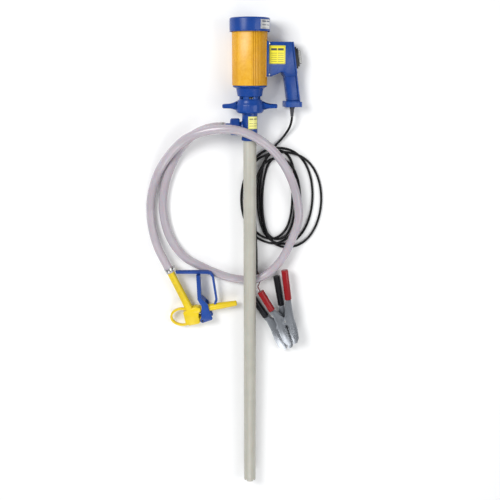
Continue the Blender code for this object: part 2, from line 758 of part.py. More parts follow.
def build_fan(motor, top):
    """Cooling fan on the upper end of the motor shaft."""
    low = HOUSING_LENGTH + 0.015
    high = top - 0.012
    hub = MOTOR_SHAFT_D / 2 + 0.005
    fan = turned("cooling_fan", [
        (hub, high), (hub, low + 0.002), (FAN_D / 2, low + 0.002), (FAN_D / 2, low),
        (MOTOR_SHAFT_D / 2 + GAP, low), (MOTOR_SHAFT_D / 2 + GAP, high),
    ], "black_plastic", motor, steps=28)
    for i in range(FAN_BLADES):
        turn = math.tau * i / FAN_BLADES
        blade = box(f"fan_blade_{i}", (hub - 0.001, -0.0007, low + 0.001),
                    (FAN_D / 2 - 0.001, 0.0007, high - 0.001), None, motor, rotation=(0, 0, turn))
        join(fan, blade)


def build_coupling(motor):
    """Dog coupling: a slotted socket on the motor shaft."""
    low, high = -FLANGE_LENGTH - 0.004, -0.034
    outer = 0.0115
    socket = turned("drive_coupling", [
        (outer, high), (outer, low), (0.007, low), (0.007, -0.048), (MOTOR_SHAFT_D / 2 + GAP, -0.047),
        (MOTOR_SHAFT_D / 2 + GAP, high),
    ], "steel", motor, steps=SMALL_ROUND)
    slot = box("coupling_slot", (-0.02, -0.003, low - 0.002), (0.02, 0.003, low + 0.010), None, motor)
    cut(socket, slot)


def build_shaft_coupling(pump, shaft_top):
    """Dog on the pump shaft: a sleeve with a flat tongue that enters the socket's slot."""
    socket_low = HOUSING_Z - FLANGE_LENGTH - 0.004
    sleeve_top = socket_low - 0.0008
    inner = SHAFT_D / 2 + GAP
    dog = turned("shaft_coupling", [
        (0, sleeve_top), (0.0095, sleeve_top), (0.0095, shaft_top - 0.012), (inner, shaft_top - 0.012),
        (inner, shaft_top + GAP), (0, shaft_top + GAP),
    ], "steel", pump, steps=SMALL_ROUND)
    tongue = box("coupling_tongue", (-0.0105, -0.0024, sleeve_top - 0.002),
                 (0.0105, 0.0024, socket_low + 0.008), None, pump, rotation=(0, 0, ROLL))
    join(dog, tongue)


def build_wing_nut(pump):
    """Union nut with two wings that clamps the motor to the pump head."""
    top, bottom = HOUSING_Z - NUT_TOP, HOUSING_Z - NUT_BOTTOM
    outer = NUT_D / 2
    clear = THREAD_D / 2 + GAP
    lip_top = HOUSING_Z - FLANGE_LENGTH - GAP - 0.008 - 0.0045
    nut = turned("wing_nut", [
        (0, top), (clear + 0.0028, top), (outer - 0.003, top - 0.008), (outer, top - 0.014),
        (outer, bottom + 0.006), (outer - 0.003, bottom + 0.002), (outer - 0.005, bottom), (0, bottom),
    ], "blue_plastic", pump)
    half, level = WING_SPAN / 2, HOUSING_Z - WING_LEVEL
    right = [
        (0.020, level - 0.013), (0.046, level - 0.011), (0.058, level - 0.0075),
        (half - 0.003, level - 0.007), (half, level - 0.004), (half, level + 0.004),
        (half - 0.003, level + 0.006), (0.060, level + 0.0075), (0.048, level + 0.011),
        (0.040, level + 0.0175), (0.020, level + 0.0175),
    ]
    left = [(-x, z) for x, z in reversed(right)]
    wings = extruded("wings", [right + left], WING_THICKNESS / 2, None, pump, rotation=FLAT_IN_XZ,
                     bevel=0.002)
    cavity = turned("nut_cavity", [
        (0, top + 0.002), (clear, top + 0.002), (clear, lip_top), (HEAD_D / 2 + 0.0006, lip_top),
        (HEAD_D / 2 + 0.0006, bottom - 0.002), (0, bottom - 0.002),
    ], None, pump)
    join(nut, wings)
    cut(nut, cavity)


# ---- handle ------------------------------------------------------------------------------------
def rear_face(height):
    """Distance of the handle's rear face from the motor axis at a height."""
    return HANDLE_REAR + (HANDLE_TOP - height) * math.tan(HANDLE_LEAN)


def grip_front(height):
    """Distance of the grip's front face from the motor axis at a height."""
    return rear_face(height) - GRIP_DEPTH


def build_handle(motor):
    """Handle shell, rear cover, cable gland and switch."""
    seam = COVER_THICKNESS + GAP
    face = PAD_FACE
    flange_face = face + GAP + HANDLE_FLANGE
    shell = box("handle_shell", (face + GAP, -HANDLE_FLANGE_HALF, PAD_LOW + 0.001),
                (flange_face, HANDLE_FLANGE_HALF, PAD_HIGH - 0.001), "blue_plastic", motor,
                bevel=0.002)
    low_z, high_z = PAD_LOW + 0.001, HANDLE_TOP
    box_outline = [
        (face + 0.004, low_z), (0.062, low_z), (0.092, 0.038), (0.100, 0.040),
        (grip_front(0.026), 0.026), (rear_face(0.026) - seam, 0.026),
        (rear_face(high_z) - seam, high_z), (face + 0.004, high_z),
    ]
    grip_outline = [
        (grip_front(GRIP_BOTTOM), GRIP_BOTTOM), (rear_face(GRIP_BOTTOM) - seam, GRIP_BOTTOM),
        (rear_face(0.060) - seam, 0.060), (grip_front(0.034), 0.060), (grip_front(0.034), 0.034),
    ]
    foot_low = GRIP_BOTTOM - FOOT_HEIGHT
    body = extruded("handle_box", [box_outline], BOX_HALF, None, motor, rotation=FLAT_IN_XZ,
                    bevel=0.003)
    grip = extruded("handle_grip", [grip_outline], GRIP_HALF, None, motor, rotation=FLAT_IN_XZ,
                    bevel=0.006)
    foot_top = GRIP_BOTTOM + 0.002
    foot = extruded("handle_foot", [[
        (FOOT_FRONT, foot_low), (rear_face(foot_low) - seam, foot_low),
        (rear_face(foot_top) - seam, foot_top), (FOOT_FRONT, foot_top),
    ]], FOOT_HALF, None, motor, rotation=FLAT_IN_XZ)
    join(shell, body, grip, foot)
    wall = SHELL_WALL
    box_hollow = [
        (face + 0.006, low_z + wall), (0.061, low_z + wall), (0.091, 0.038 + wall),
        (0.101, 0.040 + wall), (grip_front(0.048) + wall, 0.046), (rear_face(0.046) + 0.02, 0.046),
        (rear_face(high_z) + 0.02, high_z - wall), (face + 0.006, high_z - wall),
    ]
    grip_hollow = [
        (grip_front(GRIP_BOTTOM) + wall, GRIP_BOTTOM - 0.004),
        (rear_face(GRIP_BOTTOM) + 0.02, GRIP_BOTTOM - 0.004), (rear_face(0.050) + 0.02, 0.050),
        (grip_front(0.050) + wall, 0.050),
    ]
    box_cavity = extruded("box_cavity", [box_hollow], BOX_HALF - wall, None, motor,
                          rotation=FLAT_IN_XZ)
    grip_cavity = extruded("grip_cavity", [grip_hollow], GRIP_HALF - wall, None, motor,
                           rotation=FLAT_IN_XZ)
    gland_x = (FOOT_FRONT + FOOT_REAR) / 2
    passage = rod("gland_hole", 0.010, foot_low - 0.002, GRIP_BOTTOM, None, motor,
                  location=(gland_x, 0, 0))
    cut(shell, box_cavity, grip_cavity, passage)

    build_rear_cover(motor, foot_low)
    turned("cable_gland", [
        (0, foot_low - GAP), (GLAND_D / 2, foot_low - GAP), (GLAND_D / 2, foot_low - 0.004),
        (GLAND_D / 2 - 0.002, foot_low - 0.006), (CABLE_D / 2 + 0.0012, foot_low - GLAND_LENGTH),
        (0, foot_low - GLAND_LENGTH),
    ], "black_rubber", motor, location=(gland_x, 0, 0), steps=SMALL_ROUND)
    build_switch(motor)
    return gland_x


def build_rear_cover(motor, foot_low):
    """Cover plate that closes the back of the handle, down to the foot."""
    inner_low = rear_face(foot_low) - COVER_THICKNESS
    outline = [
        (rear_face(HANDLE_TOP) - COVER_THICKNESS, HANDLE_TOP), (rear_face(HANDLE_TOP), HANDLE_TOP),
        (rear_face(GRIP_BOTTOM), GRIP_BOTTOM), (FOOT_REAR, GRIP_BOTTOM), (FOOT_REAR, foot_low),
        (inner_low, foot_low),
    ]
    cover = extruded("rear_cover", [outline], FOOT_HALF, "blue_plastic", motor, rotation=FLAT_IN_XZ)
    for side in (-1, 1):
        for half, low, high in (
            (BOX_HALF - 0.001, 0.034, HANDLE_TOP + 0.01),
            (GRIP_HALF - 0.001, GRIP_BOTTOM, 0.035),
        ):
            near, far = sorted((side * half, side * (FOOT_HALF + 0.01)))
            cut(cover, box("cover_side", (0.09, near, low), (0.18, far, high), None, motor))
    mouth = box("switch_mouth", (rear_face(SWITCH_HEIGHT) - 0.02, -0.009, SWITCH_HEIGHT - 0.017),
                (rear_face(SWITCH_HEIGHT) + 0.02, 0.009, SWITCH_HEIGHT + 0.017), None, motor)
    cut(cover, mouth)


def build_switch(motor):
    """Rocker switch with its frame and its clear splash cover, on the rear face."""
    seat = frame("switch_seat", motor, (rear_face(SWITCH_HEIGHT), 0, SWITCH_HEIGHT),
                 (0, -HANDLE_LEAN, 0))
    half_y, half_z = SWITCH_FRAME
    step_y, step_z = SWITCH_STEP
    body = box("switch_frame", (GAP, -half_y, -half_z), (SWITCH_DEPTH / 2, half_y, half_z),
               "black_plastic", seat)
    step = box("switch_step", (SWITCH_DEPTH / 2 - 0.001, -step_y, -step_z),
               (SWITCH_DEPTH, step_y, step_z), None, seat)
    mouth = box("rocker_mouth", (-0.01, -ROCKER_HALF_WIDTH - 0.001, -0.0175),
                (0.03, ROCKER_HALF_WIDTH + 0.001, 0.0175), None, seat)
    join(body, step)
    cut(body, mouth)

    pivot = frame("rocker_pivot", seat, (0.008, 0, 0), (0, -ROCKER_HALF_TRAVEL, 0))
    rocker = [
        (-0.005, -0.007), (0.002, -0.015), (0.0055, -0.015), (0.0035, 0.0), (0.0055, 0.015),
        (0.002, 0.015), (-0.005, 0.007),
    ]
    extruded("switch_rocker", [rocker], ROCKER_HALF_WIDTH, "black_plastic", pivot,
             rotation=FLAT_IN_XZ)

    dome_y, dome_z = SWITCH_DOME
    low, high = SWITCH_DEPTH + GAP, SWITCH_DEPTH + SWITCH_DOME_DEPTH
    dome = box("switch_cover", (low, -dome_y, -dome_z), (high, dome_y, dome_z), "clear_cover", seat,
               bevel=0.0025)
    inside = box("dome_inside", (low - 0.005, -dome_y + 0.0015, -dome_z + 0.0015),
                 (high - 0.0012, dome_y - 0.0015, dome_z - 0.0015), None, seat)
    cut(dome, inside)


# ---- nozzle ------------------------------------------------------------------------------------
def build_nozzle(lay):
    """Trigger nozzle that lies flat: body, handle tube, spout, hook, guard, lever and valve."""
    nozzle = frame("nozzle_frame", lay, (*NOZZLE_PLACE, NOZZLE_LEVEL), (NOZZLE_TIP_UP, 0, 0))
    body = extruded("nozzle_body", [[
        (-0.030, 0.012), (-0.010, 0.026), (0.012, 0.034), (0.031, 0.031), (0.0315, 0.0175),
        (0.024, 0.0140), (0.023, -0.001), (0.025, -0.007), (0.027, -0.010), (0.026, -0.026),
        (-0.010, -0.034), (-0.022, -0.028), (-0.027, 0.000),
    ]], NOZZLE_BODY_HALF, "nozzle_yellow", nozzle, bevel=0.004)
    inlet, root = Vector((-0.067, 0.156, 0)), Vector((-0.006, 0.018, 0))
    lean = (inlet - root).normalized()
    reach = (inlet - root).length
    upright = lean.to_track_quat("Z", "Y").to_euler()
    handle = turned("handle_tube", [
        (0, reach), (0.0120, reach), (0.0125, reach * 0.5), (0.0136, 0.010), (0.0136, 0), (0, 0),
    ], None, nozzle, location=root, rotation=upright, steps=24)
    join(body, handle)
    stem_bore = rod("stem_bore", STEM_D + 2 * GAP, 0.004, 0.060, None, nozzle,
                    location=(0, STEM_LEVEL, 0), rotation=ALONG_X)
    spring_room = rod("spring_room", 0.014, -0.016, 0.014, None, nozzle,
                      location=(0, STEM_LEVEL, 0), rotation=ALONG_X)
    pin_hole = rod("pivot_hole", PIVOT_D + 2 * GAP, -0.03, 0.03, None, nozzle,
                   location=(*PIVOT, 0))
    ear = extruded("pivot_ear", [[
        (0.020, -0.009), (0.036, -0.005), (0.0425, -0.009), (0.044, -0.016), (0.040, -0.022),
        (0.030, -0.024), (0.020, -0.025),
    ]], 0.006, None, nozzle)
    join(body, ear, build_hook(nozzle))
    cut(body, spring_room, stem_bore, pin_hole)

    spout_root, spout_tip = Vector((0.0325, 0.0235, 0)), Vector((0.151, 0.0445, 0))
    direction = (spout_tip - spout_root).normalized()
    level = direction.to_track_quat("Z", "Y").to_euler()
    length = (spout_tip - spout_root).length
    turned("nozzle_spout", [
        (SPOUT_TIP_D / 2 - 0.001, length), (SPOUT_TIP_D / 2, length - 0.003), (0.0115, length * 0.5),
        (SPOUT_D / 2, 0.0), (SPOUT_BORE / 2, 0.0), (SPOUT_BORE / 2, length),
    ], "nozzle_yellow", nozzle, location=spout_root, rotation=level, steps=24)

    build_guard(nozzle, spout_root, direction)
    build_lever(nozzle)
    rod("nozzle_stem", STEM_D, 0.006, 0.0325, "steel", nozzle,
        location=(0, STEM_LEVEL, 0), rotation=ALONG_X)
    coil = [
        (-0.014 + 0.017 * i / 48, STEM_LEVEL + 0.0048 * math.cos(math.tau * 5 * i / 48),
         0.0048 * math.sin(math.tau * 5 * i / 48))
        for i in range(49)
    ]
    tube("valve_spring", coil, 0.0014, "steel", nozzle, resolution=1)
    rod("nozzle_pivot_pin", PIVOT_D, -NOZZLE_PIN_HALF, NOZZLE_PIN_HALF, "black_plastic", nozzle,
        location=(*PIVOT, 0))
    return nozzle.matrix_basis @ inlet, nozzle.matrix_basis.to_3x3() @ lean


def build_hook(nozzle):
    """D-shaped hanging hook at the back of the nozzle."""
    outline = arc(0.041, math.radians(50), math.radians(310), 22, centre=(-0.033, -0.006))
    inner = arc(0.034, math.radians(310), math.radians(50), 22, centre=(-0.033, -0.006))
    squash = 0.80
    shaped = [(x, -0.006 + (y + 0.006) * squash) for x, y in outline + inner]
    return extruded("nozzle_hook", [shaped], 0.006, None, nozzle, bevel=0.001)


def build_guard(nozzle, spout_root, direction):
    """Trigger guard from the handle tube's collar over to the spout."""
    half = 0.008
    outer = [
        (-0.0500, 0.1610), (0.0560, 0.1610), (0.0680, 0.1570), (0.0755, 0.1460), (0.0870, 0.0560),
        (0.0810, 0.0430), (0.0745, 0.0430),
    ]
    inner = [(0.0800, 0.0600), (0.0695, 0.1420), (0.0640, 0.1500), (0.0540, 0.1530), (-0.0470, 0.1530)]
    guard = extruded("nozzle_guard", [outer + inner], half, "nozzle_blue", nozzle)
    clear = turned("spout_clearance", [
        (0, 0.2), (SPOUT_D / 2 + GAP, 0.2), (SPOUT_D / 2 + GAP, -0.01), (0, -0.01),
    ], None, nozzle, location=spout_root, rotation=direction.to_track_quat("Z", "Y").to_euler())
    cut(guard, clear)


def build_lever(nozzle):
    """Trigger: two side plates past the spout, a web that pushes the stem, and the finger strip."""
    px, py = PIVOT
    pivot = frame("lever_pivot", nozzle, (px, py, 0))
    outline = [
        (0.0190, 0.1500), (0.0310, 0.1500), (0.0330, 0.0690), (0.0550, 0.0460), (0.0600, 0.0200),
        (0.0700, -0.0040), (0.0680, -0.0100), (0.0400, -0.0200), (0.0360, -0.0215),
        (0.0300, -0.0190), (0.0280, -0.0130), (0.0320, 0.0000), (0.0335, 0.0400), (0.0210, 0.0640),
    ]
    local = [(x - px, y - py) for x, y in outline]
    lever = extruded("nozzle_trigger", [local], LEVER_HALF, "nozzle_blue", pivot)
    hollow = LEVER_HALF - LEVER_PLATE
    slot = extruded("lever_slot", [[
        (0.015 - px, -0.030 - py), (0.090 - px, -0.030 - py), (0.090 - px, 0.050 - py),
        (0.050 - px, 0.0535 - py), (0.034 - px, 0.0600 - py), (0.024 - px, 0.0640 - py),
        (0.015 - px, 0.0600 - py),
    ]], hollow, None, pivot)
    web = box("lever_web", (0.0332 - px, 0.001 - py, -hollow - 0.001),
              (0.0365 - px, 0.0095 - py, hollow + 0.001), None, pivot)
    hole = rod("lever_hole", PIVOT_D + 2 * GAP, -0.03, 0.03, None, pivot)
    cut(lever, slot)
    join(lever, web)
    cut(lever, hole)


# ---- battery clamps ----------------------------------------------------------------------------
def clamp_outline(grip_end):
    """Side view of one clamp half: jaw to +X, grip to -X, ear round the pivot at the origin."""
    ear = arc(CLAMP_EAR, math.radians(-30), math.radians(-150), 6)
    jaw_inner = [(0.0800, 0.0008)]
    for i in range(5):
        tooth = 0.0750 - i * 0.0100
        jaw_inner += [(tooth, 0.0035), (tooth - 0.005, 0.0008)]
    return [
        (grip_end, 0.0400), (-0.0300, 0.0345), (0.0000, 0.0310), (0.0400, 0.0315), (0.0700, 0.0270),
        (0.0850, 0.0170), (0.0870, 0.0060), *jaw_inner, (0.0220, 0.0060), (0.0130, 0.0020), *ear,
        (-0.0180, 0.0040), (grip_end, 0.0230),
    ]


def build_clamp(prefix, lay, setting, grip_finish):
    """One battery clamp lying on its side, with its fixed half, moving half, pin and grips."""
    x, y, level, heading = setting
    seat = frame(prefix + "_clamp_frame", lay, (x, y, level), (0, 0, heading))
    for side, part in ((1, "fixed"), (-1, "moving")):
        half = CLAMP_HALF if part == "fixed" else CLAMP_HALF - CLAMP_NEST
        grip_length = CLAMP_GRIPS[0 if part == "fixed" else 1]
        start = FIXED_GRIP_START if part == "fixed" else MOVING_GRIP_START
        outline = [(u, side * v) for u, v in clamp_outline(start)]
        name = f"{prefix}_clamp_{part}_jaw"
        plate = extruded(name, [outline], half, "zinc", seat)
        shifted = [
            (u - (0.0015 if u > 0.050 else 0.005 if u == start else 0), v - side * 0.0017)
            for u, v in outline
        ]
        hollow = extruded(name + "_hollow", [shifted], half - CLAMP_SHEET, None, seat)
        hole = rod(name + "_hole", CLAMP_PIN_D + 2 * GAP, -0.02, 0.02, None, seat)
        cut(plate, hollow, hole)
        root, outward = grip_axis(part)
        rod(f"{prefix}_grip_{part}", GRIP_D, GAP, grip_length, grip_finish, seat, steps=16,
            location=root, rotation=outward.to_track_quat("Z", "Y").to_euler())
    rod(prefix + "_clamp_pin", CLAMP_PIN_D, -CLAMP_HALF - 0.0012, CLAMP_HALF + 0.0012, "steel", seat,
        steps=16)
    inner = CLAMP_HALF - CLAMP_NEST - CLAMP_SHEET - 0.0018
    spring = [
        (0.0052 * math.cos(math.tau * 4 * i / 40), 0.0052 * math.sin(math.tau * 4 * i / 40),
         inner * (2 * i / 40 - 1))
        for i in range(41)
    ]
    tube(prefix + "_clamp_spring", spring, 0.0016, "steel", seat, resolution=1)


# ---- hose and cable ----------------------------------------------------------------------------
def build_hose(lay, nozzle_end, nozzle_lean):
    """The delivery hose, one and a half turns from the outlet to the nozzle."""
    level = axis_level(OUTLET)
    straight = Vector((-HOSE_START, OUTLET * math.cos(TILT), level))
    end = nozzle_end + nozzle_lean * GAP
    route = [
        straight + Vector((-0.022, 0, 0)), straight + Vector((-0.030, 0, 0)),
        (-0.140, 1.234, 0.050), (-0.178, 1.214, 0.038), (-0.222, 1.168, 0.022),
        (-0.262, 1.092, 0.0142), (-0.282, 1.010, 0.0138), (-0.280, 0.940, 0.0138),
        (-0.260, 0.872, 0.0138), (-0.216, 0.812, 0.0138), (-0.168, 0.784, 0.0138),
        (-0.116, 0.759, 0.0138), (-0.065, 0.741, 0.0138), (-0.020, HOSE_CROSSING, 0.0138),
        (0.002, HOSE_CROSSING, 0.0138), (0.020, 0.7375, 0.0180), (0.038, 0.745, 0.0205),
        (0.070, 0.768, 0.0250), (0.104, 0.808, 0.0305), (0.134, 0.868, 0.0308),
        (0.158, 0.940, 0.0310), (0.152, 1.012, 0.0330), (0.128, 1.086, 0.0480),
        (0.088, 1.152, 0.0700), (0.048, 1.192, 0.0890), (-0.002, 1.222, 0.0985),
        (-0.050, 1.236, 0.0985), (-0.100, 1.236, 0.0915), (-0.150, 1.226, 0.0790),
        (-0.200, 1.204, 0.0620), (-0.250, 1.158, 0.0420), (-0.297, 1.088, 0.0190),
        (-0.321, 1.010, 0.0138), (-0.324, 0.945, 0.0138), (-0.316, 0.890, 0.0190),
        (-0.298, 0.838, 0.0300), end + nozzle_lean * 0.030, end + nozzle_lean * 0.022,
    ]
    points = [straight, *smooth_path(route, HOSE_POINTS), end]
    tube("hose", points, HOSE_D, "hose_grey", lay)
    seat_turn = nozzle_lean.to_track_quat("Z", "Y").to_euler()
    build_hose_clamp("nozzle_hose_clamp", "black_plastic", lay, nozzle_end + nozzle_lean * 0.006,
                     seat_turn, math.radians(180))


def build_cable(lay, gland_x):
    """Power cable: the lead off the handle, its coil, the tail, and the two wires to the clamps."""
    gland_end = HANDLE_FOOT_Z - GLAND_LENGTH
    x = gland_x * math.cos(ROLL)
    level = axis_level(gland_end) - gland_x * math.sin(ROLL) * math.cos(TILT)
    along = gland_end * math.cos(TILT) + gland_x * math.sin(ROLL) * math.sin(TILT) - 2 * GAP
    floor = CABLE_D / 2 + FLOOR_GAP
    lead = [
        (x, along, level), (x - 0.001, along - 0.012, level - 0.0015), (0.124, 1.242, floor + 0.008),
        (0.114, 1.226, floor + 0.002), (0.100, 1.208, floor), (0.087, 1.193, floor),
        (0.079, COIL_CENTRE[1] + COIL_OUTER[1] + 0.001, floor),
    ]
    extruded("cable_coil", [ellipse(COIL_CENTRE, COIL_OUTER, 40), ellipse(COIL_HOLE_CENTRE, COIL_HOLE, 32)],
             COIL_HEIGHT / 2, "black_rubber", lay, location=(0, 0, COIL_HEIGHT / 2 + FLOOR_GAP))
    tail_end = 0.766
    tail = [
        (0.020, 0.8665, floor), (0.0215, 0.850, floor), (0.0225, 0.815, floor),
        (0.0225, tail_end, floor),
    ]
    tube("power_lead", smooth_path(lead, 12), CABLE_D, "black_rubber", lay)
    tube("cable_tail", smooth_path(tail, 8), CABLE_D, "black_rubber", lay)
    split_end = tail_end - GAP
    low = WIRE_D / 2 + FLOOR_GAP
    red, red_out = clamp_grip_end(RED_CLAMP)
    black, black_out = clamp_grip_end(BLACK_CLAMP)
    red_route = [
        (0.0247, split_end, low + 0.001), (0.0280, 0.752, low), (0.0325, 0.735, low),
        (0.0345, 0.719, 0.008), red + red_out * 0.016 - Vector((0, 0, 0.012)),
        red + red_out * 0.005, red,
    ]
    black_route = [
        (0.0203, split_end, low + 0.001), (0.0205, 0.750, low), (0.0215, 0.730, low),
        (0.0190, 0.708, low), black + black_out * 0.016 - Vector((0, 0, 0.006)),
        black + black_out * 0.005, black,
    ]
    tube("red_wire", smooth_path(red_route, 16), WIRE_D, "red_grip", lay)
    tube("black_wire", smooth_path(black_route, 16), WIRE_D, "black_rubber", lay)


def grip_axis(part):
    """Start and direction of a clamp's grip, in the clamp's own plane."""
    side, start, lean = (1, FIXED_GRIP_START, FIXED_GRIP_LEAN)
    if part == "moving":
        side, start, lean = (-1, MOVING_GRIP_START, MOVING_GRIP_LEAN)
    root = Vector((start - GAP - GRIP_D / 2 * math.sin(lean), side * GRIP_LEVEL, 0))
    return root, Vector((-math.cos(lean), side * math.sin(lean), 0))


def clamp_grip_end(setting):
    """Free end and outward direction of a clamp's moving grip, in the frame of the whole set."""
    x, y, level, heading = setting
    root, outward = grip_axis("moving")
    turn = Matrix.Rotation(heading, 3, "Z")
    outward = turn @ outward
    return Vector((x, y, level)) + turn @ root + outward * (CLAMP_GRIPS[1] + WIRE_PLAY), outward


# ---- the whole set -----------------------------------------------------------------------------
CORD_PREFIXES = ("hose", "power_lead", "cable_tail", "cable_coil", "red_", "black_",
                 "nozzle", "valve_spring")


def centre_on_origin(lay):
    """Moves the set so that the box of the pump itself, without cords, is centred on the origin."""
    bpy.context.view_layer.update()
    depsgraph = bpy.context.evaluated_depsgraph_get()
    points = []
    for piece in MODEL.objects:
        own = piece.name == "hose_barb" or not piece.name.startswith(CORD_PREFIXES)
        if piece.type != "MESH" or not own:
            continue
        evaluated = piece.evaluated_get(depsgraph)
        mesh = evaluated.to_mesh()
        points += [evaluated.matrix_world @ v.co for v in mesh.vertices]
        evaluated.to_mesh_clear()
    for axis in (0, 1):
        values = [p[axis] for p in points]
        lay.location[axis] = -(min(values) + max(values)) / 2


def build_set():
    """Clears the scene and builds every piece."""
    global MODEL, CUTTERS
    for old in list(bpy.data.objects):
        bpy.data.objects.remove(old)
    MODEL = bpy.data.collections.new("drum_pump_set")
    CUTTERS = bpy.data.collections.new("cutters")
    bpy.context.scene.collection.children.link(MODEL)
    bpy.context.scene.collection.children.link(CUTTERS)

    lay = frame("set_frame", None)
    pump = frame("pump_frame", lay, (0, 0, FOOT_LEVEL), (math.radians(-90) + TILT, 0, 0))
    motor = frame("motor_frame", pump, (0, 0, HOUSING_Z), (0, 0, ROLL))
    shaft_top = build_pump_tube(pump)
    build_head(pump)
    build_wing_nut(pump)
    build_shaft_coupling(pump, shaft_top)
    build_motor(motor)
    gland_x = build_handle(motor)
    nozzle_end, nozzle_lean = build_nozzle(lay)
    build_hose(lay, nozzle_end, nozzle_lean)
    build_clamp("red", lay, RED_CLAMP, "red_grip")
    build_clamp("black", lay, BLACK_CLAMP, "black_plastic")
    build_cable(lay, gland_x)
    centre_on_origin(lay)


build_set()
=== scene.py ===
"""Looks of an electric drum pump set: pump, hose, trigger nozzle, cable and battery clamps.

Everything is in metres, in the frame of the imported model. Turned pieces are profiles carried round
an axis, cords are circles carried along a route, and every finish is a small node network.
"""

import json
import logging
import math
from collections.abc import Callable
from dataclasses import dataclass, field
from enum import Enum

import bpy
import numpy as np
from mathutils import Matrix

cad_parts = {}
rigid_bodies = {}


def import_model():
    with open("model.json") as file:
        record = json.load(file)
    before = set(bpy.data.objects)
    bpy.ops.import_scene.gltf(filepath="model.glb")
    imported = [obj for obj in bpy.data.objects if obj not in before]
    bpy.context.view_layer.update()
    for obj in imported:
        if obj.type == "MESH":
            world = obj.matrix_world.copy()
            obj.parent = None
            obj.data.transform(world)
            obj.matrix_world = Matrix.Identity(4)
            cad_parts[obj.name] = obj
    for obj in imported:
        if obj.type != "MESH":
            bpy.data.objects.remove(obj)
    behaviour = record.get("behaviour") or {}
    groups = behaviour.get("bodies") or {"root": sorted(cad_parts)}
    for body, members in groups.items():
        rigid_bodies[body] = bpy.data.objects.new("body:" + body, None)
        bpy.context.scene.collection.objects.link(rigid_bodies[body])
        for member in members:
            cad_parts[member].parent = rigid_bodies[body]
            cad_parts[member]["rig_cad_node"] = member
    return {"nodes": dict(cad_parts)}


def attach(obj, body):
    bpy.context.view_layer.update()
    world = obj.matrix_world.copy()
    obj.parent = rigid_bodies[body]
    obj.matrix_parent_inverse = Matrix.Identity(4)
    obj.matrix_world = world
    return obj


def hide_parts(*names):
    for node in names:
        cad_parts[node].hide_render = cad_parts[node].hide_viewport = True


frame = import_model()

LOG = logging.getLogger("drum_pump")
Colour = tuple[float, float, float]


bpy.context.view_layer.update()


class Body(Enum):
    """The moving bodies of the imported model."""

    SET = "pump_set"
    NUT = "wing_nut"
    ROCKER = "switch_rocker"
    TRIGGER = "nozzle_trigger"
    STEM = "nozzle_stem"
    RED_JAW = "red_clamp_jaw"
    BLACK_JAW = "black_clamp_jaw"


class Slot(Enum):
    """The record's material slots."""

    BLUE = "blue_plastic"
    YELLOW = "yellow_paint"
    TUBE = "tube_plastic"
    HOSE = "hose_pvc"
    NOZZLE_YELLOW = "nozzle_yellow"
    NOZZLE_BLUE = "nozzle_blue"
    RUBBER = "black_rubber"
    BLACK = "black_plastic"
    RED = "red_grip"
    CLEAR = "clear_cover"
    ZINC = "zinc"
    STEEL = "steel"
    CARBON = "carbon"
    PTFE = "ptfe"


# ---- frames ------------------------------------------------------------------------------------
@dataclass(frozen=True)
class Seat:
    """A right-handed frame that carries pieces: an origin, an X axis and a Z axis."""

    origin: Colour
    x_axis: Colour
    z_axis: Colour

    def place(self, local: np.ndarray) -> np.ndarray:
        """Takes points from this frame to the model's frame.

        Args:
            local: Points whose last axis holds x, y and z.

        Returns:
            The points as origin + x X + y (Z x X) + z Z.
        """
        x_axis = np.array(self.x_axis)
        z_axis = np.array(self.z_axis)
        axes = np.stack([x_axis, np.cross(z_axis, x_axis), z_axis])
        return np.array(self.origin) + local @ axes

    def at(self, x: float, y: float, z: float) -> Colour:
        """Returns one point of this frame in the model's frame."""
        return tuple(float(v) for v in self.place(np.array([x, y, z])))

    def along(self, x: float, y: float, z: float) -> Colour:
        """Returns a direction of this frame in the model's frame."""
        return tuple(float(v) for v in self.place(np.array([x, y, z])) - np.array(self.origin))


LAY = Seat((-0.0355807, -0.7817025, 0.0), (1, 0, 0), (0, 0, 1))
PUMP = Seat((-0.0355807, -0.7817025, 0.0359520), (1, 0, 0), (0, 0.99986529, 0.01641410))
MOTOR = Seat((-0.0355807, 0.5851133, 0.0583901), (0.97628856, 0.00355321, -0.21644402),
             (0, 0.99986529, 0.01641410))
OUTLET_HEIGHT = 1.242
OUTLET = Seat(PUMP.at(0, 0, OUTLET_HEIGHT), PUMP.along(0, 0, 1), (-1, 0, 0))


# ---- surfaces ----------------------------------------------------------------------------------
Reshape = Callable[[np.ndarray, np.ndarray, np.ndarray], np.ndarray] | None


@dataclass
class Surface:
    """Points, faces and the face corners' places on the UV map."""

    points: np.ndarray
    faces: list[list[int]]
    uv: np.ndarray

    @staticmethod
    def joined(parts: list["Surface"]) -> "Surface":
        """Puts several surfaces together, with the later ones' faces renumbered.

        Args:
            parts: The surfaces.

        Returns:
            One surface.
        """
        faces, start = [], 0
        for part in parts:
            faces += [[i + start for i in face] for face in part.faces]
            start += len(part.points)
        return Surface(np.concatenate([p.points for p in parts]), faces,
                       np.concatenate([p.uv for p in parts]))


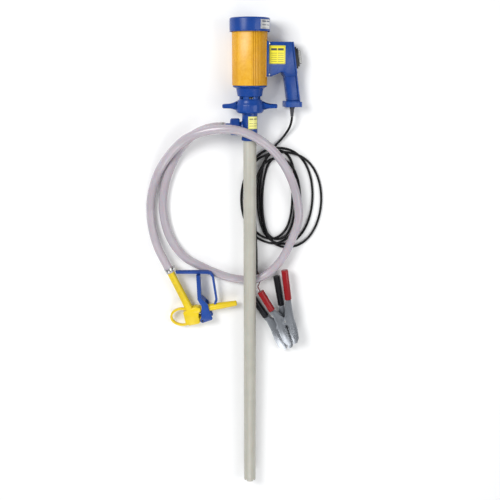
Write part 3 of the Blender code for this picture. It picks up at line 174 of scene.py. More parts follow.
def rounded(points: list[tuple[float, float]], radius: float, steps: int = 4,
            closed: bool = False) -> np.ndarray:
    """Rounds the corners of an outline.

    Each corner becomes a quadratic curve from a point before it to a point after it, both as far
    away as the radius or 0.45 of the shorter side.

    Args:
        points: The outline's corners.
        radius: How far from a corner the curve starts.
        steps: Parts of each curve.
        closed: Whether the last point joins the first.

    Returns:
        The rounded outline, one row a point.
    """
    corner = np.array(points, float)
    before, after = np.roll(corner, 1, axis=0), np.roll(corner, -1, axis=0)
    back, ahead = before - corner, after - corner
    near, far = np.linalg.norm(back, axis=1), np.linalg.norm(ahead, axis=1)
    reach = np.minimum(radius, 0.45 * np.minimum(near, far))[:, None]
    a, b = corner + back / near[:, None] * reach, corner + ahead / far[:, None] * reach
    t = np.linspace(0, 1, steps + 1)[None, :, None]
    curve = (1 - t) ** 2 * a[:, None] + 2 * t * (1 - t) * corner[:, None] + t ** 2 * b[:, None]
    if closed:
        return curve.reshape(-1, 2)
    return np.concatenate([corner[:1], curve[1:-1].reshape(-1, 2), corner[-1:]])


def grid(points: np.ndarray, wrap_rows: bool, wrap_columns: bool, u: np.ndarray,
         v: np.ndarray) -> Surface:
    """Joins a grid of points into four-sided faces.

    Args:
        points: Rows by columns by three.
        wrap_rows: Whether the last row joins the first.
        wrap_columns: Whether the last column joins the first.
        u: The columns' places on the map, with one more for the seam.
        v: The rows' places on the map, with one more for the seam.

    Returns:
        The surface.
    """
    rows, columns = points.shape[:2]
    i, j = np.meshgrid(np.arange(rows if wrap_rows else rows - 1),
                       np.arange(columns if wrap_columns else columns - 1), indexing="ij")
    i, j = i.ravel(), j.ravel()
    down, right = (i + 1) % rows, (j + 1) % columns
    faces = np.stack([i * columns + j, i * columns + right, down * columns + right,
                      down * columns + j], axis=1)
    uv = np.stack([np.stack([u[j], v[i]], 1), np.stack([u[j + 1], v[i]], 1),
                   np.stack([u[j + 1], v[i + 1]], 1), np.stack([u[j], v[i + 1]], 1)], axis=1)
    return Surface(points.reshape(-1, 3), faces.tolist(), uv.reshape(-1, 2))


def lathe(seat: Seat, profile: np.ndarray, steps: int = 128,
          reshape: Reshape = None) -> Surface:
    """Carries a profile round a frame's Z axis.

    A point of the surface is (r cos a, r sin a, z) for a profile point (r, z) and an angle a. A
    profile that starts and ends on the axis gets a closing fan there, and any other is a ring.

    Args:
        seat: The frame.
        profile: Radius and height, one row a point.
        steps: Points round the axis.
        reshape: Optional function of radius, height and angle that gives the radius there.

    Returns:
        The closed surface.
    """
    angle = np.arange(steps) * math.tau / steps
    open_profile = profile[0, 0] < 1e-9 and profile[-1, 0] < 1e-9
    body = profile[1:-1] if open_profile else profile
    radius, height = np.repeat(body[:, :1], steps, axis=1), np.repeat(body[:, 1:], steps, axis=1)
    if reshape is not None:
        radius = reshape(radius, height, angle[None])
    points = seat.place(np.stack([radius * np.cos(angle), radius * np.sin(angle), height], axis=2))
    gaps = np.linalg.norm(np.diff(body, axis=0, append=body[:1]), axis=1)
    along = np.concatenate([[0], np.cumsum(gaps)])
    made = grid(points, not open_profile, True, np.arange(steps + 1) / steps, along)
    if not open_profile:
        return made
    ends = seat.place(np.array([[0, 0, profile[0, 1]], [0, 0, profile[-1, 1]]]))
    first, last = len(made.points), len(made.points) + 1
    around = np.arange(steps)
    after = (around + 1) % steps
    base = (len(body) - 1) * steps
    fans = (np.stack([np.full(steps, first), after, around], 1).tolist()
            + np.stack([np.full(steps, last), base + around, base + after], 1).tolist())
    spread = np.zeros((2 * steps * 3, 2))
    return Surface(np.concatenate([made.points, ends]), made.faces + fans,
                   np.concatenate([made.uv, spread]))


def curved_block(seat: Seat, radii: tuple[float, float], angles: tuple[float, float],
                 heights: tuple[float, float], steps: int = 24) -> Surface:
    """A block bent round a frame's Z axis, such as a label or a post of a ring.

    Its six sides are the limits of radius, angle and height. The map runs from 0 to 1 over the
    angle and the height.

    Args:
        seat: The frame.
        radii: Inner and outer radius.
        angles: First and last angle.
        heights: Lower and upper height.
        steps: Parts along the angle.

    Returns:
        The closed surface.
    """
    angle = np.linspace(*angles, steps + 1)
    r = np.array([radii[1], radii[1], radii[0], radii[0]])[:, None]
    level = np.array([heights[0], heights[1], heights[1], heights[0]])[:, None]
    z = np.repeat(level, steps + 1, axis=1)
    points = seat.place(np.stack([r * np.cos(angle), r * np.sin(angle), z], axis=2))
    made = grid(points, True, False, np.linspace(0, 1, steps + 1), np.array([0, 1, 1, 0, 0.0]))
    columns = steps + 1
    ends = [[k * columns for k in range(4)], [k * columns + steps for k in (3, 2, 1, 0)]]
    return Surface(made.points, made.faces + ends, np.concatenate([made.uv, np.zeros((8, 2))]))


def slab(seat: Seat, outline: np.ndarray, half: float, edge: float, steps: int = 4) -> Surface:
    """An outline in a frame's XZ plane, given a thickness along Y and rounded edges.

    The outline is pulled in by edge (1 - sin t) as its level goes to half - edge (1 - cos t), for
    t from 0 to a right angle, on both sides of the middle.

    Args:
        seat: The frame.
        outline: X and Z, one row a point, closed.
        half: Half of the thickness.
        edge: Radius of the rounded edge.
        steps: Parts of the rounding.

    Returns:
        The closed surface, with a flat face on each side.
    """
    ahead = np.roll(outline, -1, axis=0) - np.roll(outline, 1, axis=0)
    ahead /= np.linalg.norm(ahead, axis=1)[:, None]
    turn = np.sign(np.sum(outline[:, 0] * np.roll(outline[:, 1], -1)
                          - outline[:, 1] * np.roll(outline[:, 0], -1)))
    inward = turn * np.stack([-ahead[:, 1], ahead[:, 0]], axis=1)
    t = np.linspace(0, math.pi / 2, steps + 1)
    inset = np.concatenate([edge * (1 - np.sin(t)), edge * (1 - np.sin(t))[::-1]])
    level = np.concatenate([half - edge * (1 - np.cos(t)), -(half - edge * (1 - np.cos(t)))[::-1]])
    flat = outline[None] + inward[None] * inset[:, None, None]
    levels = np.broadcast_to(level[:, None], flat.shape[:2])
    points = np.stack([flat[..., 0], levels, flat[..., 1]], axis=2)
    count = len(outline)
    made = grid(seat.place(points), False, True, np.arange(count + 1) / count,
                np.arange(len(inset) + 1) / len(inset))
    last = (len(inset) - 1) * count
    caps = [list(range(count))[::-1], [last + k for k in range(count)]]
    low, size = outline.min(axis=0), np.ptp(outline, axis=0)
    flat_uv = (outline - low) / size
    return Surface(made.points, made.faces + caps,
                   np.concatenate([made.uv, flat_uv[::-1], flat_uv]))


def smooth_route(points: list[Colour] | np.ndarray, spacing: float) -> np.ndarray:
    """Evenly spaced points on a centripetal Catmull-Rom curve through the given points.

    Args:
        points: The route's own points.
        spacing: Distance between the points that come back.

    Returns:
        One row a point, from the first given point to the last.
    """
    known = np.array(points, float)
    known = np.concatenate([[2 * known[0] - known[1]], known, [2 * known[-1] - known[-2]]])
    a, b, c, d = (known[k:len(known) - 3 + k][:, None] for k in range(4))
    t1 = np.sqrt(np.linalg.norm(b - a, axis=2, keepdims=True))
    t2 = t1 + np.sqrt(np.linalg.norm(c - b, axis=2, keepdims=True))
    t3 = t2 + np.sqrt(np.linalg.norm(d - c, axis=2, keepdims=True))
    t = t1 + (t2 - t1) * np.linspace(0, 1, 24, endpoint=False)[None, :, None]
    ab = a + (b - a) * t / t1
    bc = b + (c - b) * (t - t1) / (t2 - t1)
    cd = c + (d - c) * (t - t2) / (t3 - t2)
    abc, bcd = ab + (bc - ab) * t / t2, bc + (cd - bc) * (t - t1) / (t3 - t1)
    fine = (abc + (bcd - abc) * (t - t1) / (t2 - t1)).reshape(-1, 3)
    return even(np.concatenate([fine, known[-2:-1]]), spacing)


def even(path: np.ndarray, spacing: float) -> np.ndarray:
    """Spaces a path's points evenly.

    Args:
        path: The path.
        spacing: Distance between the points that come back, rounded to fit the length.

    Returns:
        The points, from the path's first to its last.
    """
    along = np.concatenate([[0], np.cumsum(np.linalg.norm(np.diff(path, axis=0), axis=1))])
    wanted = np.linspace(0, along[-1], max(4, round(along[-1] / spacing)) + 1)
    return np.stack([np.interp(wanted, along, path[:, k]) for k in range(3)], axis=1)


def eased(path: np.ndarray, reach: float) -> np.ndarray:
    """Eases a path's bends, most in its middle and not at all at its ends.

    Each point goes to the bell-weighted mean of its neighbours, and near an end the bell is as
    narrow as the way that is left.

    Args:
        path: Evenly spaced points.
        reach: Half of the bell's width, in metres.

    Returns:
        The eased path, as many points.
    """
    step = length_of(path) / (len(path) - 1)
    along = np.arange(len(path)) * step
    room = np.minimum(np.minimum(along, along[-1] - along), reach) + 1e-6
    away = np.abs(along[:, None] - along[None]) / room[:, None]
    weight = np.where(away < 1, 1 + np.cos(np.pi * away), 0)
    return (weight @ path) / weight.sum(axis=1, keepdims=True)


def length_of(path: np.ndarray) -> float:
    """Returns the length of a path."""
    return float(np.linalg.norm(np.diff(path, axis=0), axis=1).sum())


CAP_SHARE = 0.72


def cord_surface(path: np.ndarray, diameter: float, sides: int) -> Surface:
    """Carries a circle along a path.

    At each point the circle lies across the path's direction T, on the axes T x up and its
    right angle. Each end is closed by a flat cap inside a narrow rim, which keeps the edge sharp.

    Args:
        path: The centreline.
        diameter: The cord's diameter.
        sides: Points round the cord.

    Returns:
        The closed surface. The map holds the turn round the cord and the metres along it.
    """
    ahead = np.gradient(path, axis=0)
    ahead /= np.linalg.norm(ahead, axis=1)[:, None]
    side = np.cross(ahead, np.array([0.0, 0.0, 1.0]))
    side /= np.linalg.norm(side, axis=1)[:, None]
    up = np.cross(side, ahead)
    radius = diameter / 2
    angle = np.arange(sides) * math.tau / sides
    ring = (side[:, None] * np.cos(angle)[None, :, None]
            + up[:, None] * np.sin(angle)[None, :, None])
    body = path[:, None] + radius * ring
    inner = CAP_SHARE * radius
    start, end = path[0] + inner * ring[0], path[-1] + inner * ring[-1]
    rows = np.concatenate([start[None], body, end[None]])
    along = np.concatenate([[0, 0], np.cumsum(np.linalg.norm(np.diff(path, axis=0), axis=1))])
    along = np.concatenate([along, along[-1:], along[-1:]])
    made = grid(rows, False, True, np.arange(sides + 1) / sides, along)
    last = (len(rows) - 1) * sides
    caps = [list(range(sides))[::-1], [last + k for k in range(sides)]]
    return Surface(made.points, made.faces + caps,
                   np.concatenate([made.uv, np.zeros((2 * sides, 2))]))


def socket_screw(seat: Seat, radius: float, height: float) -> Surface:
    """The head of a socket screw: a rounded drum with a six-sided recess.

    Rings go up the outside, in over the top and down the recess. The recess ring's radius is the
    across-flats half a over cos(b), with b the angle from the nearest flat's middle.

    Args:
        seat: A frame on the face that the head stands on.
        radius: The head's radius.
        height: The head's height.

    Returns:
        The closed surface.
    """
    steps = 48
    angle = np.arange(steps) * math.tau / steps
    flat = (angle + math.pi / 6) % (math.pi / 3) - math.pi / 6
    hexagon = 0.5 * radius / np.cos(flat)
    round_ring = np.ones(steps)
    rings = [(0.0 * round_ring, 0.0), (radius * round_ring, 0.0),
             (radius * round_ring, 0.72 * height),
             (0.94 * radius * round_ring, 0.93 * height), (0.82 * radius * round_ring, height),
             (1.12 * hexagon, height), (hexagon, 0.94 * height), (hexagon, 0.35 * height),
             (0.02 * hexagon, 0.28 * height)]
    points = np.stack([np.stack([r * np.cos(angle), r * np.sin(angle), z * round_ring], 1)
                       for r, z in rings])
    points[0, :, :2] = 1e-5 * np.stack([np.cos(angle), np.sin(angle)], 1)
    made = grid(seat.place(points), False, True, np.arange(steps + 1) / steps,
                np.arange(len(rings) + 1.0))
    last = (len(rings) - 1) * steps
    caps = [list(range(steps))[::-1], [last + k for k in range(steps)]]
    return Surface(made.points, made.faces + caps,
                   np.concatenate([made.uv, np.zeros((2 * steps, 2))]))


def outward(surface: Surface) -> Surface:
    """Turns a closed surface's faces outwards.

    The volume is the sum over each face's triangles of p0 . (p1 x p2) / 6, and every face is
    turned round where it is negative.

    Args:
        surface: A closed surface.

    Returns:
        The surface with faces that point outwards.
    """
    triangles = np.array([[f[0], f[k], f[k + 1]]
                          for f in surface.faces for k in range(1, len(f) - 1)])
    p = surface.points - surface.points.mean(axis=0)
    across = np.cross(p[triangles[:, 1]], p[triangles[:, 2]])
    volume = np.einsum("ij,ij->i", p[triangles[:, 0]], across).sum()
    if volume >= 0:
        return surface
    sizes = np.array([len(f) for f in surface.faces])
    starts = np.concatenate([[0], np.cumsum(sizes)[:-1]])
    order = np.concatenate([np.arange(s + n - 1, s - 1, -1) for s, n in zip(starts, sizes)])
    return Surface(surface.points, [f[::-1] for f in surface.faces], surface.uv[order])


# ---- shader networks ---------------------------------------------------------------------------
Socket = bpy.types.NodeSocket
Value = bpy.types.NodeSocket | float
Paint = bpy.types.NodeSocket | Colour
Skin = tuple[bpy.types.NodeSocket, bpy.types.NodeSocket, bpy.types.NodeSocket]
ROUTE_MAP = "route"


class Graph:
    """A node tree and short ways to add to it."""

    def __init__(self, tree: bpy.types.NodeTree) -> None:
        """Keeps the tree."""
        self.tree = tree

    def add(self, kind: str, **settings: object) -> bpy.types.Node:
        """Adds a node.

        Args:
            kind: The node's type.
            **settings: Values for its properties.

        Returns:
            The node.
        """
        made = self.tree.nodes.new(kind)
        for name, value in settings.items():
            setattr(made, name, value)
        return made

    def feed(self, node: bpy.types.Node, **inputs: object) -> bpy.types.Node:
        """Sets or links a node's inputs.

        Args:
            node: The node.
            **inputs: A value or a socket for each input, named with _ for a space, or by its
                place as i0, i1 and so on.

        Returns:
            The node.
        """
        for name, value in inputs.items():
            by_place = name[0] == "i" and name[1:].isdigit()
            key = int(name[1:]) if by_place else name.replace("_", " ")
            if isinstance(value, Socket):
                self.tree.links.new(value, node.inputs[key])
            else:
                node.inputs[key].default_value = value
        return node

    def math(self, operation: str, a: Value, b: Value = 0.0, clamp: bool = False) -> Socket:
        """Works out one sum.

        Args:
            operation: The Math node's operation.
            a: The first value.
            b: The second value.
            clamp: Whether the result stays between 0 and 1.

        Returns:
            The result.
        """
        node = self.add("ShaderNodeMath", operation=operation, use_clamp=clamp)
        return self.feed(node, i0=a, i1=b).outputs[0]

    def times(self, a: Value, b: Value, clamp: bool = False) -> Socket:
        """Returns the product of two values."""
        return self.math("MULTIPLY", a, b, clamp)

    def plus(self, a: Value, b: Value, clamp: bool = False) -> Socket:
        """Returns the sum of two values."""
        return self.math("ADD", a, b, clamp)

    def noise(self, vector: Socket, scale: Value, detail: float = 3.0,
              roughness: float = 0.5) -> Socket:
        """Adds a noise.

        Args:
            vector: Where it is read.
            scale: Its scale.
            detail: How many finer octaves it has.
            roughness: How much those count.

        Returns:
            A value from 0 to 1.
        """
        node = self.feed(self.add("ShaderNodeTexNoise"), Vector=vector, Scale=scale, Detail=detail,
                         Roughness=roughness)
        return node.outputs["Fac"]

    def ramp(self, value: Value, low: float, high: float, start: float = 0.0,
             end: float = 1.0) -> Socket:
        """Takes a value smoothly from one range to another.

        Args:
            value: The value.
            low: Where the ramp starts.
            high: Where it ends.
            start: The result at its start.
            end: The result at its end.

        Returns:
            The result.
        """
        node = self.add("ShaderNodeMapRange", interpolation_type="SMOOTHSTEP")
        self.feed(node, Value=value, From_Min=low, From_Max=high, To_Min=start, To_Max=end)
        return node.outputs[0]

    def mix(self, share: Value, a: Paint, b: Paint) -> Socket:
        """Mixes two colours.

        Args:
            share: The share of the second colour.
            a: The first colour.
            b: The second colour.

        Returns:
            The mixed colour.
        """
        opaque = {key: colour if isinstance(colour, Socket) else (*colour, 1.0)
                  for key, colour in (("i6", a), ("i7", b))}
        node = self.add("ShaderNodeMix", data_type="RGBA")
        return self.feed(node, i0=share, **opaque).outputs[2]

    def bump(self, height: Socket, strength: float, distance: float,
             normal: Socket | None = None) -> Socket:
        """Turns a height into a normal.

        Args:
            height: The height.
            strength: How much of it shows.
            distance: Metres that a height of 1 stands for.
            normal: A normal to build on, if any.

        Returns:
            The normal.
        """
        node = self.add("ShaderNodeBump")
        self.feed(node, Height=height, Strength=strength, Distance=distance)
        if normal is not None:
            self.feed(node, Normal=normal)
        return node.outputs["Normal"]

    def scaled(self, vector: Socket, scale: Colour) -> Socket:
        """Returns a vector with each axis stretched."""
        node = self.add("ShaderNodeVectorMath", operation="MULTIPLY")
        return self.feed(node, i0=vector, i1=scale).outputs[0]

    def split(self, vector: Socket) -> bpy.types.NodeOutputs:
        """Returns a vector's X, Y and Z."""
        return self.feed(self.add("ShaderNodeSeparateXYZ"), i0=vector).outputs

    def place(self) -> Socket:
        """Returns the place on the piece, in metres."""
        return self.add("ShaderNodeTexCoord").outputs["Object"]

    def route(self) -> Socket:
        """Returns the place on the piece's own map."""
        return self.add("ShaderNodeUVMap", uv_map=ROUTE_MAP).outputs[0]


class Effects:
    """The shared effects, each a node group built once."""

    made: dict[str, bpy.types.NodeTree] = {}

    @classmethod
    def _start(cls, name: str, inputs: dict[str, float | None],
               outputs: dict[str, str]) -> tuple[Graph, bpy.types.Node, bpy.types.Node]:
        """Makes a group with its sockets.

        Args:
            name: The group's name.
            inputs: Each input's value, or None for a vector.
            outputs: Each output's socket type.

        Returns:
            The group's graph, its input node and its output node.
        """
        tree = bpy.data.node_groups.new(name, "ShaderNodeTree")
        for label, value in inputs.items():
            kind = "NodeSocketVector" if value is None else "NodeSocketFloat"
            socket = tree.interface.new_socket(label, in_out="INPUT", socket_type=kind)
            if value is not None:
                socket.default_value = value
        for label, kind in outputs.items():
            tree.interface.new_socket(label, in_out="OUTPUT", socket_type=kind)
        graph = Graph(tree)
        return graph, graph.add("NodeGroupInput"), graph.add("NodeGroupOutput")

    @classmethod
    def surface(cls) -> bpy.types.NodeTree:
        """Moulded or painted skin: slow tone, fine grain, hairline scratches, and its gloss.

        Returns:
            The group.
        """
        if "surface" not in cls.made:
            g, given, out = cls._start(
                "moulded_skin",
                {"Vector": None, "Grain Scale": 900, "Grain Depth": 0.1, "Scratches": 0.3},
                {"Tone": "NodeSocketFloat", "Gloss": "NodeSocketFloat",
                 "Scratch": "NodeSocketFloat", "Normal": "NodeSocketVector"})
            place = given.outputs["Vector"]
            tone = g.ramp(g.noise(place, 14.0, 4.0, 0.6), 0.3, 0.7)
            streak = g.noise(g.scaled(place, (60.0, 900.0, 60.0)), 1.0, 2.0, 0.6)
            other = g.noise(g.scaled(place, (800.0, 70.0, 200.0)), 1.0, 2.0, 0.6)
            lines = g.math("MAXIMUM", g.ramp(streak, 0.70, 0.76), g.ramp(other, 0.71, 0.77))
            scratch = g.times(lines, given.outputs["Scratches"])
            grain = g.noise(place, given.outputs["Grain Scale"], 2.0, 0.6)
            height = g.math("SUBTRACT", g.times(grain, given.outputs["Grain Depth"]),
                            g.times(scratch, 0.15))
            gloss = g.plus(g.times(g.math("SUBTRACT", tone, 0.5), 0.12), g.times(scratch, 0.25))
            g.feed(out, Tone=tone, Gloss=gloss, Scratch=scratch,
                   Normal=g.bump(height, 0.35, 0.0004))
            cls.made["surface"] = g.tree
        return cls.made["surface"]

    @classmethod
    def edges(cls) -> bpy.types.NodeTree:
        """Rubbed edges, and painted shade in hollow corners, both from how sharply the surface
        turns.

        Returns:
            The group.
        """
        if "edges" not in cls.made:
            g, given, out = cls._start("rubbed_edges_and_corner_shade", {"Vector": None, "Wear": 0.5},
                                       {"Edge": "NodeSocketFloat", "Corner": "NodeSocketFloat"})
            point = g.add("ShaderNodeNewGeometry").outputs["Pointiness"]
            broken = g.ramp(g.noise(given.outputs["Vector"], 120.0, 4.0, 0.7), 0.35, 0.65)
            edge = g.times(g.times(g.ramp(point, 0.52, 0.60), broken), given.outputs["Wear"], True)
            # the corner output is painted shade, strongest where the surface turns inwards most
            g.feed(out, Edge=edge, Corner=g.ramp(point, 0.49, 0.42))
            cls.made["edges"] = g.tree
        return cls.made["edges"]

    @classmethod
    def dust(cls) -> bpy.types.NodeTree:
        """Dust on what faces up, thicker in patches.

        Returns:
            The group.
        """
        if "dust" not in cls.made:
            g, given, out = cls._start("settled_dust", {"Vector": None, "Amount": 0.1},
                                       {"Mask": "NodeSocketFloat"})
            facing = g.split(g.add("ShaderNodeNewGeometry").outputs["Normal"])
            up = g.ramp(facing["Z"], 0.2, 1.0)
            patch = g.ramp(g.noise(given.outputs["Vector"], 45.0, 6.0, 0.7), 0.35, 0.75)
            g.feed(out, Mask=g.times(g.times(up, patch), given.outputs["Amount"], True))
            cls.made["dust"] = g.tree
        return cls.made["dust"]


def use(graph: Graph, tree: bpy.types.NodeTree, **inputs: Value) -> bpy.types.NodeOutputs:
    """Places a shared effect in a material.

    Args:
        graph: The material's graph.
        tree: The effect.
        **inputs: The effect's values in this material.

    Returns:
        The effect's outputs.
    """
    return graph.feed(graph.add("ShaderNodeGroup", node_tree=tree), **inputs).outputs


@dataclass(frozen=True)
class Finish:
    """A plain skin of moulded plastic, paint, rubber or bare metal."""

    name: str
    slot: Slot
    colour: Colour
    # deep is the skin's darker tone, and also the colour of the painted shade in hollow corners
    deep: Colour
    worn: Colour
    roughness: float
    metallic: float = 0.0
    grain_scale: float = 900.0
    grain_depth: float = 0.25
    scratches: float = 0.25
    wear: float = 0.4
    dust: float = 0.10
    dust_colour: Colour = (0.62, 0.60, 0.55)
    coat: float = 0.0
    coat_roughness: float = 0.12
    soft: float = 0.0
    soft_depth: float = 0.004
    sheen_level: float = 0.5

    def material(self) -> bpy.types.Material:
        """Finds this finish's material, and builds it when it is first asked for.

        Returns:
            The material.
        """
        found = bpy.data.materials.get(self.name)
        if found:
            return found
        made = bpy.data.materials.new(self.name)
        made.use_nodes = True
        self.build(Graph(made.node_tree), made.node_tree.nodes["Principled BSDF"])
        return made

    def paint(self, graph: Graph, place: Socket) -> Skin:
        """Works out the skin before wear and dust.

        Args:
            graph: The material's graph.
            place: The place on the piece.

        Returns:
            Its colour, roughness and normal.
        """
        skin = use(graph, Effects.surface(), Vector=place, Grain_Scale=self.grain_scale,
                   Grain_Depth=self.grain_depth, Scratches=self.scratches)
        toned = graph.mix(graph.times(skin["Tone"], 0.35), self.colour, self.deep)
        scratched = graph.mix(graph.times(skin["Scratch"], 0.5), toned, self.worn)
        return scratched, graph.plus(skin["Gloss"], self.roughness, True), skin["Normal"]

    def build(self, graph: Graph, shader: bpy.types.Node) -> None:
        """Feeds the shader with the skin, then edge wear, painted shade in hollow corners, and dust.

        Args:
            graph: The material's graph.
            shader: Its shader.
        """
        place = graph.place()
        colour, rough, normal = self.paint(graph, place)
        edges = use(graph, Effects.edges(), Vector=place, Wear=self.wear)
        # painted shade: hollow corners darkened up to 45% towards the deep colour
        colour = graph.mix(graph.times(edges["Corner"], 0.45), colour, self.deep)
        colour = graph.mix(graph.times(edges["Edge"], 0.7), colour, self.worn)
        dust = use(graph, Effects.dust(), Vector=place, Amount=self.dust)["Mask"]
        colour = graph.mix(dust, colour, self.dust_colour)
        rough = graph.plus(rough, graph.times(dust, 0.5), True)
        graph.feed(shader, Base_Color=colour, Roughness=rough, Normal=normal,
                   Metallic=self.metallic, Coat_Weight=self.coat,
                   Coat_Roughness=self.coat_roughness, Specular_IOR_Level=self.sheen_level)
        if self.soft:
            graph.feed(shader, Subsurface_Weight=self.soft, Subsurface_Scale=self.soft_depth)

    def dress(self, piece: bpy.types.Object) -> None:
        """Gives a piece this finish, in place of any materials it had.

        Args:
            piece: The piece.
        """
        piece.data.materials.clear()
        piece.data.materials.append(self.material())


@dataclass(frozen=True)
class DrawnTube(Finish):
    """Extruded plastic tube: faint lengthwise draw lines and a warm cast."""

    def paint(self, graph: Graph, place: Socket) -> Skin:
        """Adds draw lines, a noise that is long along the tube and fine round it.

        Args:
            graph: The material's graph.
            place: The place on the piece.

        Returns:
            Its colour, roughness and normal.
        """
        colour, rough, _ = Finish.paint(self, graph, place)
        lines = graph.noise(graph.scaled(place, (420.0, 1.6, 420.0)), 1.0, 3.0, 0.6)
        colour = graph.mix(graph.ramp(lines, 0.45, 0.75, 0.0, 0.35), colour, self.deep)
        return colour, rough, graph.bump(lines, 0.25, 0.0003)


@dataclass(frozen=True)
class CordSkin(Finish):
    """Skin of a hose or cable, on the map that its route gives: turn and metres."""

    clear: float = 0.0
    clear_ior: float = 1.45

    def paint(self, graph: Graph, place: Socket) -> Skin:
        """Adds extrusion lines, a noise that is fine round the cord and long along it.

        Args:
            graph: The material's graph.
            place: The place on the piece.

        Returns:
            Its colour, roughness and normal.
        """
        colour, rough, normal = Finish.paint(self, graph, place)
        line = graph.noise(graph.scaled(graph.route(), (34.0, 1.2, 1.0)), 1.0, 2.0)
        colour = graph.mix(graph.ramp(line, 0.4, 0.7, 0.0, 0.3), colour, self.deep)
        return colour, rough, graph.bump(graph.times(line, 0.5), 0.30, 0.0004, normal)

    def build(self, graph: Graph, shader: bpy.types.Node) -> None:
        """Adds the light that a clear wall lets through.

        Args:
            graph: The material's graph.
            shader: Its shader.
        """
        Finish.build(self, graph, shader)
        if self.clear:
            graph.feed(shader, Transmission_Weight=self.clear, IOR=self.clear_ior)


@dataclass(frozen=True)
class WornSheet(Finish):
    """Pressed zinc-plated sheet: crystals of different tone and rubbed ridges."""

    crystal_scale: float = 420.0

    def paint(self, graph: Graph, place: Socket) -> Skin:
        """Adds a cell pattern whose cells differ a little in tone and gloss.

        Args:
            graph: The material's graph.
            place: The place on the piece.

        Returns:
            Its colour, roughness and normal.
        """
        colour, rough, normal = Finish.paint(self, graph, place)
        cells = graph.add("ShaderNodeTexVoronoi")
        graph.feed(cells, Vector=place, Scale=self.crystal_scale)
        tone = graph.split(cells.outputs["Color"])
        colour = graph.mix(graph.times(tone["X"], 0.30), colour, self.deep)
        return colour, graph.plus(rough, graph.times(tone["Y"], 0.10), True), normal


@dataclass(frozen=True)
class TurnedMetal(Finish):
    """Turned or ground metal: fine rings across the piece's length."""

    def paint(self, graph: Graph, place: Socket) -> Skin:
        """Adds tool marks, a noise that is fine along the pump and coarse across it.

        Args:
            graph: The material's graph.
            place: The place on the piece.

        Returns:
            Its colour, roughness and normal.
        """
        colour, rough, _ = Finish.paint(self, graph, place)
        marks = graph.noise(graph.scaled(place, (30.0, 2500.0, 30.0)), 1.0, 2.0)
        colour = graph.mix(graph.ramp(marks, 0.4, 0.7, 0.0, 0.3), colour, self.deep)
        return colour, rough, graph.bump(marks, 0.2, 0.0002)


@dataclass(frozen=True)
class Plate(Finish):
    """A printed plate with a border, a bar across the top and plain rules, without lettering."""

    ink: Colour = (0.05, 0.05, 0.05)
    rules: float = 9.0

    def paint(self, graph: Graph, place: Socket) -> Skin:
        """Draws the border, the bar and the rules on the plate's own map, from 0 to 1.

        Args:
            graph: The material's graph.
            place: The place on the piece.

        Returns:
            Its colour, roughness and normal.
        """
        colour, rough, normal = Finish.paint(self, graph, place)
        on_plate = graph.split(graph.route())
        u, v = on_plate["X"], on_plate["Y"]
        across = graph.math("ABSOLUTE", graph.math("SUBTRACT", u, 0.5))
        upright = graph.math("ABSOLUTE", graph.math("SUBTRACT", v, 0.5))
        edge = graph.math("MAXIMUM", across, upright)
        border = graph.times(graph.ramp(edge, 0.455, 0.462), graph.ramp(edge, 0.480, 0.473))
        inside = graph.ramp(edge, 0.42, 0.40)
        wave = graph.math("SINE", graph.times(v, math.tau * self.rules))
        from_column = graph.math("ABSOLUTE", graph.math("SUBTRACT", across, 0.21))
        column = graph.ramp(from_column, 0.185, 0.175)
        band = graph.times(graph.ramp(v, 0.72, 0.74), graph.ramp(v, 0.86, 0.84))
        bar = graph.times(band, column)
        rule = graph.times(graph.ramp(wave, 0.55, 0.75), inside)
        rule = graph.times(graph.times(rule, column), graph.ramp(v, 0.66, 0.62))
        drawn = graph.math("MAXIMUM", graph.math("MAXIMUM", border, bar), graph.times(rule, 0.75))
        return graph.mix(drawn, colour, self.ink), rough, normal


@dataclass(frozen=True)
class ClearCover(Finish):
    """Clear soft cover: glass-like, with a faint haze."""

    clear: float = 0.85
    clear_ior: float = 1.42

    def build(self, graph: Graph, shader: bpy.types.Node) -> None:
        """Feeds the colour and haze, and sets the shader's own transmission.

        Args:
            graph: The material's graph.
            shader: Its shader.
        """
        colour, rough, normal = self.paint(graph, graph.place())
        graph.feed(shader, Base_Color=colour, Roughness=rough, Normal=normal,
                   Transmission_Weight=self.clear, IOR=self.clear_ior)


@dataclass(frozen=True)
class Windings(Finish):
    """Stacked sheets and copper turns inside the motor."""

    sheet: float = 0.0012

    def paint(self, graph: Graph, place: Socket) -> Skin:
        """Adds the stack's lines, bands across the pump's length.

        Args:
            graph: The material's graph.
            place: The place on the piece.

        Returns:
            Its colour, roughness and normal.
        """
        colour, rough, normal = Finish.paint(self, graph, place)
        along = graph.split(place)["Y"]
        bands = graph.math("SINE", graph.times(along, math.tau / self.sheet))
        colour = graph.mix(graph.ramp(bands, -0.5, 0.5, 0.0, 0.45), colour, self.deep)
        return colour, rough, graph.bump(bands, 0.3, 0.0002, normal)


BLUE = Finish("royal_blue_moulding", Slot.BLUE, (0.003, 0.050, 0.270), (0.001, 0.020, 0.140),
              (0.040, 0.140, 0.420), 0.27, dust=0.02, sheen_level=0.30)
NOZZLE_BLUE = Finish("nozzle_blue_coating", Slot.NOZZLE_BLUE, (0.010, 0.062, 0.310),
                     (0.002, 0.012, 0.100), (0.004, 0.018, 0.130), 0.30, grain_depth=0.4, wear=0.9,
                     dust=0.02, sheen_level=0.30)
YELLOW = Finish("golden_powder_coat", Slot.YELLOW, (0.740, 0.375, 0.012), (0.430, 0.160, 0.003),
                (0.860, 0.560, 0.080), 0.28, grain_scale=1300.0, grain_depth=0.5, dust=0.02,
                sheen_level=0.35)
NOZZLE_YELLOW = Finish("cast_yellow_paint", Slot.NOZZLE_YELLOW, (0.800, 0.590, 0.008),
                       (0.500, 0.310, 0.004), (0.460, 0.340, 0.040), 0.32, grain_scale=500.0,
                       grain_depth=0.9, wear=0.8, dust=0.03, sheen_level=0.35)
TUBE_PLASTIC = DrawnTube("warm_grey_tube", Slot.TUBE, (0.455, 0.443, 0.385), (0.320, 0.310, 0.260),
                         (0.560, 0.550, 0.500), 0.38, soft=0.08, dust=0.04)
